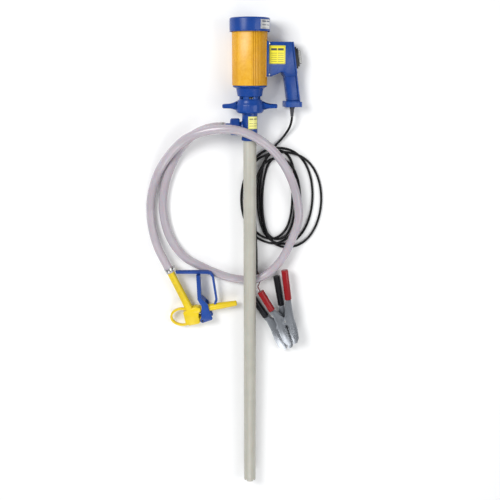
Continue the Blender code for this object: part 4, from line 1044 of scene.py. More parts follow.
HOSE_PVC = CordSkin("clear_grey_hose", Slot.HOSE, (0.600, 0.545, 0.590), (0.440, 0.385, 0.440),
                    (0.700, 0.660, 0.690), 0.20, clear=0.30, soft=0.25, coat=0.3, scratches=0.05,
                    dust=0.0)
CABLE_SKIN = CordSkin("black_cable_skin", Slot.RUBBER, (0.006, 0.006, 0.007),
                      (0.003, 0.003, 0.004), (0.030, 0.030, 0.033), 0.36, scratches=0.2, dust=0.0,
                      sheen_level=0.22)
RED_WIRE = CordSkin("red_wire_skin", Slot.RED, (0.220, 0.018, 0.022), (0.110, 0.008, 0.012),
                    (0.300, 0.030, 0.030), 0.34, dust=0.0, sheen_level=0.25)
RUBBER = Finish("black_rubber", Slot.RUBBER, (0.009, 0.009, 0.010), (0.004, 0.004, 0.005),
                (0.045, 0.045, 0.048), 0.46, dust=0.02, sheen_level=0.25)
BLACK = Finish("black_moulding", Slot.BLACK, (0.009, 0.009, 0.011), (0.004, 0.004, 0.005),
               (0.055, 0.055, 0.060), 0.32, dust=0.02, sheen_level=0.30)
GRIP_RED = Finish("dark_red_sleeve", Slot.RED, (0.290, 0.006, 0.010), (0.110, 0.002, 0.004),
                  (0.400, 0.030, 0.035), 0.24, grain_scale=350.0, grain_depth=0.6, dust=0.0,
                  sheen_level=0.30)
GRIP_BLACK = Finish("black_sleeve", Slot.BLACK, (0.006, 0.006, 0.009), (0.003, 0.003, 0.004),
                    (0.040, 0.040, 0.048), 0.26, grain_scale=350.0, grain_depth=0.6, dust=0.0,
                    sheen_level=0.28)
CLEAR = ClearCover("clear_dome", Slot.CLEAR, (0.900, 0.900, 0.880), (0.780, 0.780, 0.760),
                   (0.950, 0.950, 0.950), 0.10, scratches=0.5)
ZINC = WornSheet("zinc_sheet", Slot.ZINC, (0.400, 0.420, 0.450), (0.170, 0.185, 0.210),
                 (0.780, 0.800, 0.820), 0.27, metallic=1.0, wear=0.25, dust=0.0)
STEEL = TurnedMetal("bright_steel", Slot.STEEL, (0.620, 0.620, 0.610), (0.380, 0.380, 0.370),
                    (0.850, 0.850, 0.840), 0.26, metallic=1.0, dust=0.03)
CARBON = Finish("brush_carbon", Slot.CARBON, (0.030, 0.030, 0.032), (0.012, 0.012, 0.013),
                (0.110, 0.110, 0.115), 0.62, grain_depth=0.8)
WHITE = Finish("white_bearing_plastic", Slot.PTFE, (0.780, 0.780, 0.750), (0.620, 0.620, 0.580),
               (0.860, 0.860, 0.840), 0.45, soft=0.1)
STACK = Windings("sheet_stack", Slot.STEEL, (0.330, 0.310, 0.290), (0.420, 0.190, 0.090),
                 (0.600, 0.580, 0.560), 0.40, metallic=0.9)
LABEL = Plate("yellow_plate", Slot.YELLOW, (0.860, 0.760, 0.020), (0.800, 0.680, 0.015),
              (0.900, 0.850, 0.200), 0.38, dust=0.02, wear=0.0, scratches=0.1)
HEAD_LABEL = Plate("pale_yellow_plate", Slot.YELLOW, (0.880, 0.860, 0.300), (0.820, 0.720, 0.050),
                   (0.920, 0.900, 0.600), 0.38, dust=0.02, wear=0.0, scratches=0.1, rules=5.0,
                   ink=(0.30, 0.27, 0.10))
NAMEPLATE = Plate("silver_plate", Slot.STEEL, (0.660, 0.660, 0.650), (0.520, 0.520, 0.510),
                  (0.820, 0.820, 0.810), 0.34, metallic=0.7, dust=0.02, wear=0.0, scratches=0.1,
                  ink=(0.05, 0.07, 0.14), rules=3.0)


# ---- pieces ------------------------------------------------------------------------------------
def new_piece(name: str, surface: Surface, body: Body, finish: Finish,
              stands_for: tuple[str, ...] = (), sharp: float = 32.0) -> bpy.types.Object:
    """Makes a piece of the model from a surface.

    Args:
        name: The piece's name.
        surface: Its closed surface.
        body: The body that it rides on.
        finish: Its finish.
        stands_for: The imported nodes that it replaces.
        sharp: Edges that turn more than this many degrees stay sharp.

    Returns:
        The piece.
    """
    surface = outward(surface)
    mesh = bpy.data.meshes.new(name)
    mesh.from_pydata(surface.points.tolist(), [], surface.faces)
    layer = mesh.uv_layers.new(name=ROUTE_MAP)
    layer.data.foreach_set("uv", surface.uv.astype(np.float32).ravel())
    mesh.shade_smooth()
    mesh.set_sharp_from_angle(angle=math.radians(sharp))
    mesh.validate()
    piece = bpy.data.objects.new(name, mesh)
    bpy.context.scene.collection.objects.link(piece)
    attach(piece, body.value)
    finish.dress(piece)
    if stands_for:
        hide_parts(*stands_for)
    LOG.info("%s: %d faces", name, len(surface.faces))
    return piece


HARD_EDGE = math.radians(34.0)
BEVELLED_EDGE = math.radians(38)
WELD_GAP = 2e-6


def smoothing() -> bpy.types.NodeTree:
    """Finds the modifier tree that shades a mesh smooth and keeps its hard edges sharp.

    Returns:
        The tree, built when it is first asked for.
    """
    found = bpy.data.node_groups.get("smooth_but_for_hard_edges")
    if found:
        return found
    tree = bpy.data.node_groups.new("smooth_but_for_hard_edges", "GeometryNodeTree")
    tree.interface.new_socket("Geometry", in_out="INPUT", socket_type="NodeSocketGeometry")
    tree.interface.new_socket("Geometry", in_out="OUTPUT", socket_type="NodeSocketGeometry")
    graph = Graph(tree)
    given, out = graph.add("NodeGroupInput"), graph.add("NodeGroupOutput")
    angle = graph.add("GeometryNodeInputMeshEdgeAngle").outputs[0]
    limit = graph.add("FunctionNodeCompare", data_type="FLOAT", operation="LESS_EQUAL")
    graph.feed(limit, i0=angle, i1=HARD_EDGE)
    faces = graph.add("GeometryNodeSetShadeSmooth", domain="FACE")
    edges = graph.add("GeometryNodeSetShadeSmooth", domain="EDGE")
    tree.links.new(given.outputs[0], faces.inputs["Geometry"])
    tree.links.new(faces.outputs[0], edges.inputs["Geometry"])
    tree.links.new(limit.outputs[0], edges.inputs["Shade Smooth"])
    tree.links.new(edges.outputs[0], out.inputs[0])
    return tree


def dress_node(name: str, finish: Finish, edge: float = 0.0,
               segments: int = 3) -> bpy.types.Object:
    """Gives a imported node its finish, rounded edges and smooth shading, all as modifiers.

    Args:
        name: The node.
        finish: Its finish.
        edge: Radius of the rounded edges, or 0 for none.
        segments: Parts of the rounding.

    Returns:
        The node.
    """
    node = frame["nodes"][name]
    weld = node.modifiers.new("Weld", "WELD")
    weld.merge_threshold = WELD_GAP
    if edge:
        rounding = node.modifiers.new("Rounding", "BEVEL")
        rounding.width = edge
        rounding.segments = segments
        rounding.limit_method = "ANGLE"
        rounding.angle_limit = BEVELLED_EDGE
        rounding.use_clamp_overlap = True
        rounding.miter_outer = "MITER_ARC"
    shading = node.modifiers.new("Shading", "NODES")
    shading.node_group = smoothing()
    finish.dress(node)
    LOG.info("%s dressed as %s", name, finish.name)
    return node


# ---- sub-assemblies ----------------------------------------------------------------------------
@dataclass
class PumpTube:
    """The long tube with its foot, and what turns inside it."""

    outer: float = 0.0205
    wall: float = 0.0035
    low: float = 0.0123
    high: float = 1.2147

    def build(self) -> None:
        """Builds the tube and dresses the foot and the inner pieces."""
        bore = self.outer - self.wall
        profile = rounded([(self.outer, self.high), (self.outer, self.low), (bore, self.low),
                           (bore, self.high)], 0.0008, 4, closed=True)
        new_piece("tube_outer", lathe(PUMP, profile, 128), Body.SET, TUBE_PLASTIC, ("outer_tube",))
        dress_node("pump_foot", TUBE_PLASTIC, 0.0006)
        dress_node("inner_tube", TUBE_PLASTIC)
        dress_node("tube_spacer", WHITE, 0.0003)
        for bush in ("lower_shaft_bush", "upper_shaft_bush"):
            dress_node(bush, WHITE)
        dress_node("impeller", BLACK, 0.0003)
        dress_node("pump_shaft", STEEL, 0.0003)
        dress_node("shaft_coupling", STEEL, 0.0003)


@dataclass
class PumpHead:
    """The head above the tube, with its outlet spigot, union nut, barb and label."""

    radius: float = 0.024
    collar: float = 0.026
    low: float = 1.200
    flange: float = 0.031
    flange_top: float = 1.3047
    nut_radius: float = 0.026
    nut_low: float = 0.031
    nut_high: float = 0.061
    groove_radius: float = 0.0035
    groove_count: int = 8

    def build(self) -> None:
        """Builds the head, the outlet and the label."""
        self.build_body()
        self.build_union()
        barb = [(0.0107, 0.0747), (0.0107, 0.0473), (0.0147, 0.0473), (0.0147, 0.0433),
                (0.0080, 0.0433), (0.0080, 0.0747)]
        shape = lathe(OUTLET, rounded(barb, 0.0008, 3, closed=True), 64)
        new_piece("outlet_barb", shape, Body.SET, BLUE, ("hose_barb",))
        dress_node("shaft_seal", RUBBER)
        dress_node("outlet_hose_clamp", STEEL, 0.0003, 2)
        plate = curved_block(PUMP, (0.02405, 0.02445),
                             (math.radians(-102), math.radians(-22)), (1.2365, 1.2745), 40)
        new_piece("head_plate", plate, Body.SET, HEAD_LABEL)

    def build_body(self) -> None:
        """Builds the head: a profile round the pump's axis, and the spigot to one side."""
        low, top, roof = self.low, self.flange_top, 1.262
        profile = rounded([
            (self.flange, top), (self.flange, top - 0.008), (self.radius, top - 0.012),
            (self.radius, low + 0.012), (self.collar, low + 0.008), (self.collar, low),
            (0.0208, low), (0.0208, low + 0.018), (0.0170, low + 0.018), (0.0170, roof),
            (0.0103, roof), (0.0103, roof + 0.003), (0.0130, roof + 0.003), (0.0130, top),
        ], 0.0014, 5, closed=True)
        spigot = rounded([(0.015, 0.0180), (0.015, 0.0430), (0.010, 0.0430), (0.010, 0.0180)],
                         0.0008, 3, closed=True)
        fillet = rounded([(0.0185, 0.0200), (0.0165, 0.0262), (0.0150, 0.0305), (0.0145, 0.0305),
                          (0.0145, 0.0200)], 0.0015, 4, closed=True)
        shape = Surface.joined([outward(lathe(PUMP, profile, 128)),
                                outward(lathe(OUTLET, spigot, 80)),
                                outward(lathe(OUTLET, fillet, 80))])
        new_piece("head_casting", shape, Body.SET, BLUE, ("pump_head",))

    def build_union(self) -> None:
        """Builds the fluted union nut.

        Where a ray meets a flute, a circle of radius g round a centre at R, its radius is
        R cos d - sqrt(g^2 - R^2 sin^2 d), with d the angle from the flute's middle.
        """
        outer, low, high = self.nut_radius, self.nut_low, self.nut_high
        centre, flute = outer + 0.0015, self.groove_radius

        def fluted(radius: np.ndarray, height: np.ndarray, angle: np.ndarray) -> np.ndarray:
            """Cuts the flutes into the nut's outer side.

            Args:
                radius: The radius before.
                height: The height, which fades the flutes out near the top.
                angle: The angle round the nut.

            Returns:
                The radius with flutes.
            """
            step = math.tau / self.groove_count
            off = (angle + step / 2) % step - step / 2
            inside = np.maximum(flute ** 2 - (centre * np.sin(off)) ** 2, 0)
            cut = np.where(inside > 0, centre * np.cos(off) - np.sqrt(inside), outer)
            fade = np.clip((high - 0.0055 - height) / 0.002, 0, 1)
            hollow = np.minimum(radius, outer + (cut - outer) * fade)
            return np.where(radius > 0.020, hollow, radius)

        profile = rounded([
            (0.0122, high), (outer - 0.004, high), (outer, high - 0.004), (outer, high - 0.009),
            (outer, (low + high) / 2), (outer, low + 0.004), (outer - 0.003, low), (0.0153, low),
            (0.0153, 0.0476), (0.0122, 0.0476),
        ], 0.0012, 4, closed=True)
        new_piece("union_nut", lathe(OUTLET, profile, 192, fluted), Body.SET, BLUE,
                  ("outlet_union_nut",))


@dataclass
class WingNut:
    """The nut with two wings that clamps the motor to the head."""

    top: float = 1.3235
    bottom: float = 1.2840
    radius: float = 0.0425
    span: float = 0.170
    level: float = 1.3050
    thickness: float = 0.014
    ribs: int = 12

    def build(self) -> None:
        """Builds the nut as one piece: its ribbed body and the slab of its wings."""
        top, bottom, outer = self.top, self.bottom, self.radius

        def ribbed(radius: np.ndarray, height: np.ndarray, angle: np.ndarray) -> np.ndarray:
            """Adds shallow ribs to the nut's side, h = 0.7 mm |cos (n a / 2)|^8 for n ribs.

            Args:
                radius: The radius before.
                height: The height, which changes nothing.
                angle: The angle round the nut.

            Returns:
                The radius with ribs.
            """
            wave = np.abs(np.cos(self.ribs / 2 * angle)) ** 8
            part = np.clip((radius - 0.0385) / 0.003, 0, 1)
            return radius + 0.0007 * wave * part - 0.0003 * part

        profile = rounded([
            (0.0348, top), (0.0376, top), (outer - 0.003, top - 0.008), (outer, top - 0.014),
            (outer, bottom + 0.012), (outer, bottom + 0.006), (outer - 0.003, bottom + 0.002),
            (outer - 0.005, bottom), (0.0246, bottom), (0.0246, 1.2922), (0.0348, 1.2922),
        ], 0.0014, 5, closed=True)
        half, level = self.span / 2, self.level
        right = [(0.0385, level - 0.0125), (0.046, level - 0.011), (0.058, level - 0.0075),
                 (half - 0.003, level - 0.007), (half, level - 0.004), (half, level + 0.004),
                 (half - 0.003, level + 0.006), (0.060, level + 0.0075), (0.048, level + 0.011),
                 (0.0385, level + 0.0165)]
        wing = rounded(right, 0.006, 6, closed=True)
        other = wing[::-1] * np.array([-1.0, 1.0])
        parts = [lathe(PUMP, profile, 192, ribbed),
                 slab(PUMP, wing, self.thickness / 2, 0.0035, 6),
                 slab(PUMP, other, self.thickness / 2, 0.0035, 6)]
        shape = Surface.joined([outward(part) for part in parts])
        new_piece("wing_nut_body", shape, Body.NUT, BLUE, ("wing_nut",))


@dataclass
class Motor:
    """The finned motor with its cap, lower flange and inner pieces."""

    length: float = 0.159
    cap_radius: float = 0.061
    cap_length: float = 0.037
    rim: float = 0.0525
    window_count: int = 6
    window_half: float = math.asin(0.0073 / 0.0325)
    window_turn: float = math.radians(25)

    def build(self) -> None:
        """Builds the cap and the flange and dresses the rest."""
        dress_node("motor_housing", YELLOW, 0.0006, 2)
        self.build_cap()
        self.build_flange()
        dress_node("rear_bearing_plate", BLUE, 0.0004)
        for bearing in ("front_bearing", "rear_bearing"):
            dress_node(bearing, STEEL, 0.0004)
        dress_node("stator", STACK)
        dress_node("armature", STACK, 0.0003)
        for brush in ("left_brush", "right_brush"):
            dress_node(brush, CARBON, 0.0003)
        dress_node("cooling_fan", BLACK, 0.0002)
        dress_node("drive_coupling", STEEL, 0.0003)

    def build_cap(self) -> None:
        """Builds the cap: rounded rim, two shallow rings on top, a groove above the open edge."""
        top, wide = self.length + self.cap_length, self.cap_radius
        low = self.length - 0.003
        profile = rounded([
            (0, top - 0.0006), (0.020, top - 0.0006), (0.0205, top - 0.0016),
            (0.0225, top - 0.0016), (0.0230, top - 0.0003), (0.044, top - 0.0003),
            (0.0445, top - 0.0014), (0.0465, top - 0.0014), (0.0470, top),
            (wide - 0.0042, top), (wide - 0.0012, top - 0.0012), (wide, top - 0.0042),
            (wide, low + 0.0045), (wide - 0.0005, low + 0.0042), (wide - 0.0005, low + 0.0032),
            (wide, low + 0.0028), (wide, low), (wide - 0.0025, low), (wide - 0.0025, top - 0.004),
            (wide - 0.0065, top - 0.0027), (0, top - 0.0027),
        ], 0.0011, 5)
        new_piece("motor_cap", lathe(MOTOR, profile, 192), Body.SET, BLUE, ("fan_cap",))
        plate = curved_block(MOTOR, (wide + 0.00005, wide + 0.0005),
                             (math.radians(-71), math.radians(-27)),
                             (self.length + 0.0035, self.length + 0.0305), 36)
        new_piece("cap_plate", plate, Body.SET, NAMEPLATE)

    def build_flange(self) -> None:
        """Builds the lower flange in two turned parts, with posts between the windows."""
        upper = rounded([
            (0.0340, -0.0003), (self.rim, -0.0003), (self.rim, -0.0040), (0.0460, -0.0075),
            (0.0420, -0.0085), (0.0380, -0.0320), (0.0325, -0.0336), (0.0285, -0.0336),
            (0.0285, -0.0310), (0.0060, -0.0280), (0.0060, -0.0250), (0.0133, -0.0250),
            (0.0133, -0.0140), (0.0340, -0.0100),
        ], 0.0012, 5, closed=True)
        pitch = 0.016 / 3
        thread = [(0.0325, -0.0404)]
        for turn in range(3):
            start = -0.042 - turn * pitch
            thread += [(0.0345, start - 0.25 * pitch), (0.0345, start - 0.6 * pitch),
                       (0.0325, start - 0.95 * pitch)]
        thread += [(0.0325, -0.0620), (0.0285, -0.0620), (0.0285, -0.0404)]
        lower = rounded(thread, 0.0007, 4, closed=True)
        step = math.tau / self.window_count
        half = step / 2 - self.window_half
        parts = [lathe(MOTOR, upper, 160), lathe(MOTOR, lower, 160)]
        for k in range(self.window_count):
            middle = self.window_turn + (k + 0.5) * step
            parts.append(curved_block(MOTOR, (0.0285, 0.0325), (middle - half, middle + half),
                                      (-0.0410, -0.0330), 12))
        new_piece("flange_casting", Surface.joined([outward(p) for p in parts]), Body.SET, BLUE,
                  ("lower_flange",))


@dataclass
class Handle:
    """The pistol handle with its rear cover, switch, screws, plate and cable gland."""

    flange_face: float = 0.0520
    side: float = 0.022
    rear: float = 0.132
    lean: float = math.radians(8)
    top: float = 0.128
    gland_x: float = 0.1355
    gland_top: float = -0.0663
    screw: float = 0.0042
    plate_low: tuple[float, float] = (0.0550, 0.0630)
    plate_high: tuple[float, float] = (0.1055, 0.1170)

    def rear_face(self, height: float) -> float:
        """Returns how far from the motor's axis the handle's rear face is at a height."""
        return self.rear + (self.top - height) * math.tan(self.lean)

    def build(self) -> None:
        """Dresses the shells and the switch, and builds the small pieces."""
        dress_node("handle_shell", BLUE, 0.0012, 4)
        dress_node("rear_cover", BLUE, 0.0009, 3)
        dress_node("switch_frame", BLACK, 0.0009, 3)
        dress_node("switch_rocker", BLACK, 0.0007, 3)
        dress_node("switch_cover", CLEAR, 0.0005, 2)
        self.build_screws()
        self.build_gland()
        (x0, z0), (x1, z1) = self.plate_low, self.plate_high
        seat = Seat(MOTOR.at(0, -self.side - 0.0002, 0), MOTOR.x_axis, MOTOR.z_axis)
        outline = rounded([(x0, z0), (x1, z0), (x1, z1), (x0, z1)], 0.0015, 4, closed=True)
        new_piece("side_plate", slab(seat, outline, 0.0003, 0.0001, 2), Body.SET, LABEL)

    def build_screws(self) -> None:
        """Builds the flange's and the cover's screws, each head on its own face."""
        heads = []
        for across in (-0.0275, 0.0275):
            for height in (0.0325, 0.1225):
                seat = Seat(MOTOR.at(self.flange_face, across, height), MOTOR.z_axis, MOTOR.x_axis)
                heads.append(outward(socket_screw(seat, self.screw, 0.0034)))
        new_piece("flange_screws", Surface.joined(heads), Body.SET, STEEL)
        out = MOTOR.along(math.cos(self.lean), 0, math.sin(self.lean))
        up = MOTOR.along(-math.sin(self.lean), 0, math.cos(self.lean))
        heads = []
        for across, height in ((-0.010, 0.119), (0.010, 0.119), (0.0, 0.012)):
            seat = Seat(MOTOR.at(self.rear_face(height), across, height), up, out)
            heads.append(outward(socket_screw(seat, 0.0031, 0.0020)))
        for across in (-0.015, 0.015):
            seat = Seat(MOTOR.at(0.161, across, -0.058), MOTOR.z_axis, MOTOR.x_axis)
            heads.append(outward(socket_screw(seat, 0.0030, 0.0018)))
        new_piece("cover_screws", Surface.joined(heads), Body.SET, STEEL)

    def build_gland(self) -> None:
        """Builds the tapered cable gland, with rings whose size falls towards its end."""
        top = self.gland_top
        points = [(0, top), (0.0080, top), (0.0080, top - 0.004)]
        for k in range(6):
            level = top - 0.0052 - 0.0038 * k
            big = 0.0068 - 0.00030 * k
            points += [(big, level), (big, level - 0.0022), (big - 0.0010, level - 0.0026),
                       (big - 0.0010, level - 0.0034)]
        points += [(0.0046, top - 0.0297), (0, top - 0.0297)]
        seat = Seat(MOTOR.at(self.gland_x, 0, 0), MOTOR.x_axis, MOTOR.z_axis)
        new_piece("gland_sleeve", lathe(seat, rounded(points, 0.0006, 3), 64), Body.SET, RUBBER,
                  ("cable_gland",))


@dataclass
class Hose:
    """The delivery hose, one and a half turns from the outlet to the nozzle."""

    diameter: float = 0.027
    start_x: float = -0.075
    nozzle_end: Colour = (-0.262, 0.767095, 0.0377485)
    nozzle_lean: Colour = (-0.4042928, 0.9092799, 0.0987795)
    clearance: float = 0.0002
    spacing: float = 0.004
    easing: float = 0.020
    path: np.ndarray = field(default_factory=lambda: np.zeros((0, 3)))

    def route(self) -> np.ndarray:
        """Lays the hose on the floor, over its own first turn and up to the nozzle.

        Returns:
            The centreline in the model's frame.
        """
        level, along = 0.0563383, 1.2418327
        end, lean = np.array(self.nozzle_end), np.array(self.nozzle_lean)
        end = end + lean * 0.0003
        known = [
            (self.start_x - 0.022, along, level), (self.start_x - 0.030, along, level),
            (-0.140, 1.234, 0.050), (-0.178, 1.214, 0.038), (-0.222, 1.168, 0.022),
            (-0.262, 1.092, 0.0142), (-0.282, 1.010, 0.0138), (-0.280, 0.940, 0.0138),
            (-0.260, 0.872, 0.0138), (-0.216, 0.812, 0.0138), (-0.168, 0.784, 0.0138),
            (-0.116, 0.759, 0.0138), (-0.065, 0.741, 0.0138), (-0.020, 0.734, 0.0138),
            (0.002, 0.734, 0.0138), (0.020, 0.7375, 0.0180), (0.038, 0.745, 0.0205),
            (0.070, 0.768, 0.0250), (0.104, 0.808, 0.0305), (0.134, 0.868, 0.0308),
            (0.158, 0.940, 0.0310), (0.152, 1.012, 0.0330), (0.128, 1.086, 0.0480),
            (0.088, 1.152, 0.0700), (0.048, 1.192, 0.0890), (-0.002, 1.222, 0.0985),
            (-0.050, 1.236, 0.0985), (-0.100, 1.236, 0.0915), (-0.150, 1.226, 0.0790),
            (-0.200, 1.204, 0.0620), (-0.250, 1.158, 0.0420), (-0.297, 1.088, 0.0190),
            (-0.321, 1.010, 0.0138), (-0.324, 0.945, 0.0138), (-0.316, 0.890, 0.0190),
            (-0.298, 0.838, 0.0300), tuple(end + lean * 0.030), tuple(end + lean * 0.022),
        ]
        middle = smooth_route(known, self.spacing)
        whole = np.concatenate([[(self.start_x, along, level)], middle, [end]])
        whole = eased(even(whole, self.spacing), self.easing)
        whole[:, 2] = np.maximum(whole[:, 2], self.diameter / 2 + self.clearance)
        return LAY.place(whole)

    def build(self) -> None:
        self.path = self.route()
        shape = cord_surface(self.path, self.diameter, 40)
        piece = new_piece("delivery_hose", shape, Body.SET, HOSE_PVC, ("hose",), 60)
        dress_node("nozzle_hose_clamp", STEEL, 0.0003, 2)
        LOG.info("hose length %.3f m", length_of(self.path))


@dataclass
class Nozzle:
    """The trigger nozzle that lies on its side."""

    def build(self) -> None:
        """Dresses the body, spout, guard, trigger and valve pieces."""
        dress_node("nozzle_body", NOZZLE_YELLOW, 0.0008, 3)
        dress_node("nozzle_spout", NOZZLE_YELLOW, 0.0006, 3)
        dress_node("nozzle_guard", NOZZLE_BLUE, 0.0016, 3)
        dress_node("nozzle_trigger", NOZZLE_BLUE, 0.0008, 3)
        dress_node("nozzle_stem", STEEL, 0.0004)
        dress_node("valve_spring", STEEL)
        dress_node("nozzle_pivot_pin", BLACK, 0.0008)


@dataclass
class PowerCable:
    """The power cable: lead, coil and tail in one cord, and two wires to the battery clamps."""

    diameter: float = 0.0075
    wire: float = 0.0035
    floor: float = 0.0002
    left: tuple[float, ...] = (0.033, 0.025, -0.019, 0.040, -0.029, 0.013)
    right: tuple[float, ...] = (0.150, 0.205, 0.139, 0.234, 0.165)
    top: tuple[float, ...] = (1.174, 1.168, 1.173, 1.150, 1.160, 1.142)
    bottom: tuple[float, ...] = (0.866, 0.853, 0.872, 0.842, 0.858)
    flat_ends: float = 0.80
    first: float = math.radians(122)
    last: float = math.radians(194) + 5 * math.tau
    step: float = math.radians(15)
    spacing: float = 0.003
    easing: float = 0.060
    wire_spacing: float = 0.002
    wire_easing: float = 0.030

    def coil(self) -> np.ndarray:
        """Lays the coil flat on the floor.

        At angle a the place is (cx + w c, cy + h sin a), where c is cos a with its size raised to
        the power that flattens the coil's ends. The centre and the half sizes w and h follow from
        the left, right, top and bottom limits, each blended from pass to pass.

        Returns:
            The coil's own points, in the frame of the whole set.
        """
        angle = np.arange(self.first, self.last, self.step)
        turns = angle / math.tau

        def limit(values: tuple[float, ...], start: float) -> np.ndarray:
            """Finds a limit at each angle, with a smooth step between the coil's passes.

            Args:
                values: The limit on each pass.
                start: Turns at the first pass.

            Returns:
                The limit at each angle.
            """
            place = np.clip(turns - start, 0, len(values) - 1)
            base = np.minimum(place.astype(int), len(values) - 2)
            t = place - base
            t = t * t * (3 - 2 * t)
            known = np.array(values)
            return known[base] * (1 - t) + known[base + 1] * t

        low_x, high_x = limit(self.left, 0.5), limit(self.right, 1.0)
        high_y, low_y = limit(self.top, 0.25), limit(self.bottom, 0.75)
        across = np.sign(np.cos(angle)) * np.abs(np.cos(angle)) ** self.flat_ends
        x = (low_x + high_x) / 2 + (high_x - low_x) / 2 * across
        y = (low_y + high_y) / 2 + (high_y - low_y) / 2 * np.sin(angle)
        return np.stack([x, y, np.full_like(x, self.diameter / 2 + self.floor)], axis=1)

    def settle(self, path: np.ndarray, spacing: float) -> np.ndarray:
        """Lifts the cord where it crosses what was laid before it.

        Each point rises to z + sqrt(d^2 - s^2) over an earlier point at height z and at a flat
        distance s below d, and the lift is then spread along the cord and smoothed.

        Args:
            path: The centreline, with the cord on the floor.
            spacing: Distance between its points.

        Returns:
            The centreline with its lifts.
        """
        done = path.copy()
        clear = int(round(6 * self.diameter / spacing))
        block = int(round(0.10 / spacing))
        reach = self.diameter * 1.02
        kernel = np.hanning(2 * int(round(0.030 / spacing)) + 3)
        kernel /= kernel.sum()
        for start in range(0, len(done), block):
            stop = min(start + block, len(done))
            if start <= clear:
                continue
            mine, before = done[start:stop], done[:max(start - clear, 1)]
            flat = ((mine[:, None, :2] - before[None, :, :2]) ** 2).sum(axis=2)
            over = before[None, :, 2] + np.sqrt(np.maximum(reach ** 2 - flat, 0))
            rise = np.where(flat < reach ** 2, over, 0)
            done[start:stop, 2] = np.maximum(mine[:, 2], rise.max(axis=1))
        wide = int(round(0.010 / spacing))
        padded = np.pad(done[:, 2], wide, mode="edge")
        spread = np.stack([padded[k:k + len(done)] for k in range(2 * wide + 1)]).max(axis=0)
        smooth = np.convolve(np.pad(spread, len(kernel) // 2, mode="edge"), kernel, mode="valid")
        weight = np.clip((np.arange(len(done)) - clear) / clear, 0, 1)
        done[:, 2] = path[:, 2] + (smooth - path[:, 2]) * weight
        done[:, 2] = np.maximum(done[:, 2], path[:, 2])
        return done

    def build(self) -> None:
        """Builds the cable, the wires and the sleeve where they part."""
        floor = self.diameter / 2 + self.floor
        gland = MOTOR.at(0.1355, 0, -0.0963)
        x, along, level = (gland[0] - LAY.origin[0], gland[1] - LAY.origin[1] - 0.0006, gland[2])
        lead = [(x, along, level), (x - 0.001, along - 0.012, level - 0.0015),
                (0.1272, 1.240, floor + 0.0150), (0.1175, 1.219, floor + 0.0060),
                (0.104, 1.202, floor + 0.0010), (0.090, 1.188, floor), (0.0735, 1.172, floor)]
        tail = [(0.0190, 0.912, floor), (0.020, 0.8665, floor), (0.0215, 0.850, floor),
                (0.0225, 0.815, floor), (0.0225, 0.766, floor)]
        flat = smooth_route(np.concatenate([lead, self.coil(), tail]), self.spacing)
        flat = even(eased(flat, self.easing), self.spacing)
        path = LAY.place(self.settle(flat, self.spacing))
        shape = cord_surface(path, self.diameter, 16)
        piece = new_piece("power_cable", shape, Body.SET, CABLE_SKIN,
                          ("power_lead", "cable_coil", "cable_tail"), 60)
        sleeve = rounded([(0.0, 0.0005), (0.0046, 0.0005), (0.0048, -0.004), (0.0048, -0.010),
                          (0.0040, -0.0145), (0.0, -0.0145)], 0.0012, 4)
        seat = Seat(LAY.at(0.0225, 0.7665, 0.0050), (1, 0, 0), (0, 1, 0))
        cuff = new_piece("cable_cuff", lathe(seat, sleeve, 48), Body.SET, RUBBER)
        LOG.info("cable length %.3f m", length_of(path))
        self.build_wires()

    def build_wires(self) -> None:
        """Builds the red and the black wire, each to the moving grip of its clamp."""
        low = self.wire / 2 + self.floor
        red_end, red_out = RED.wire_end()
        black_end, black_out = BLACK_CLAMP.wire_end()
        red = [(0.0247, 0.7657, low + 0.001), (0.0280, 0.752, low), (0.0325, 0.735, low),
               (0.0345, 0.719, 0.008), tuple(red_end + red_out * 0.016 - np.array([0, 0, 0.012])),
               tuple(red_end + red_out * 0.005), tuple(red_end)]
        black = [(0.0203, 0.7657, low + 0.001), (0.0205, 0.750, low), (0.0215, 0.730, low),
                 (0.0190, 0.708, low),
                 tuple(black_end + black_out * 0.016 - np.array([0, 0, 0.006])),
                 tuple(black_end + black_out * 0.005), tuple(black_end)]
        for name, points, finish, clamp in (("red_wire", red, RED_WIRE, RED),
                                            ("black_wire", black, CABLE_SKIN, BLACK_CLAMP)):
            path = LAY.place(eased(smooth_route(points, self.wire_spacing), self.wire_easing))
            piece = new_piece(name + "_cord", cord_surface(path, self.wire, 14), Body.SET, finish,
                              (name,), 60)
            LOG.info("%s length %.3f m", name, length_of(path))
            [frame["nodes"][n] for n in clamp.nodes()]


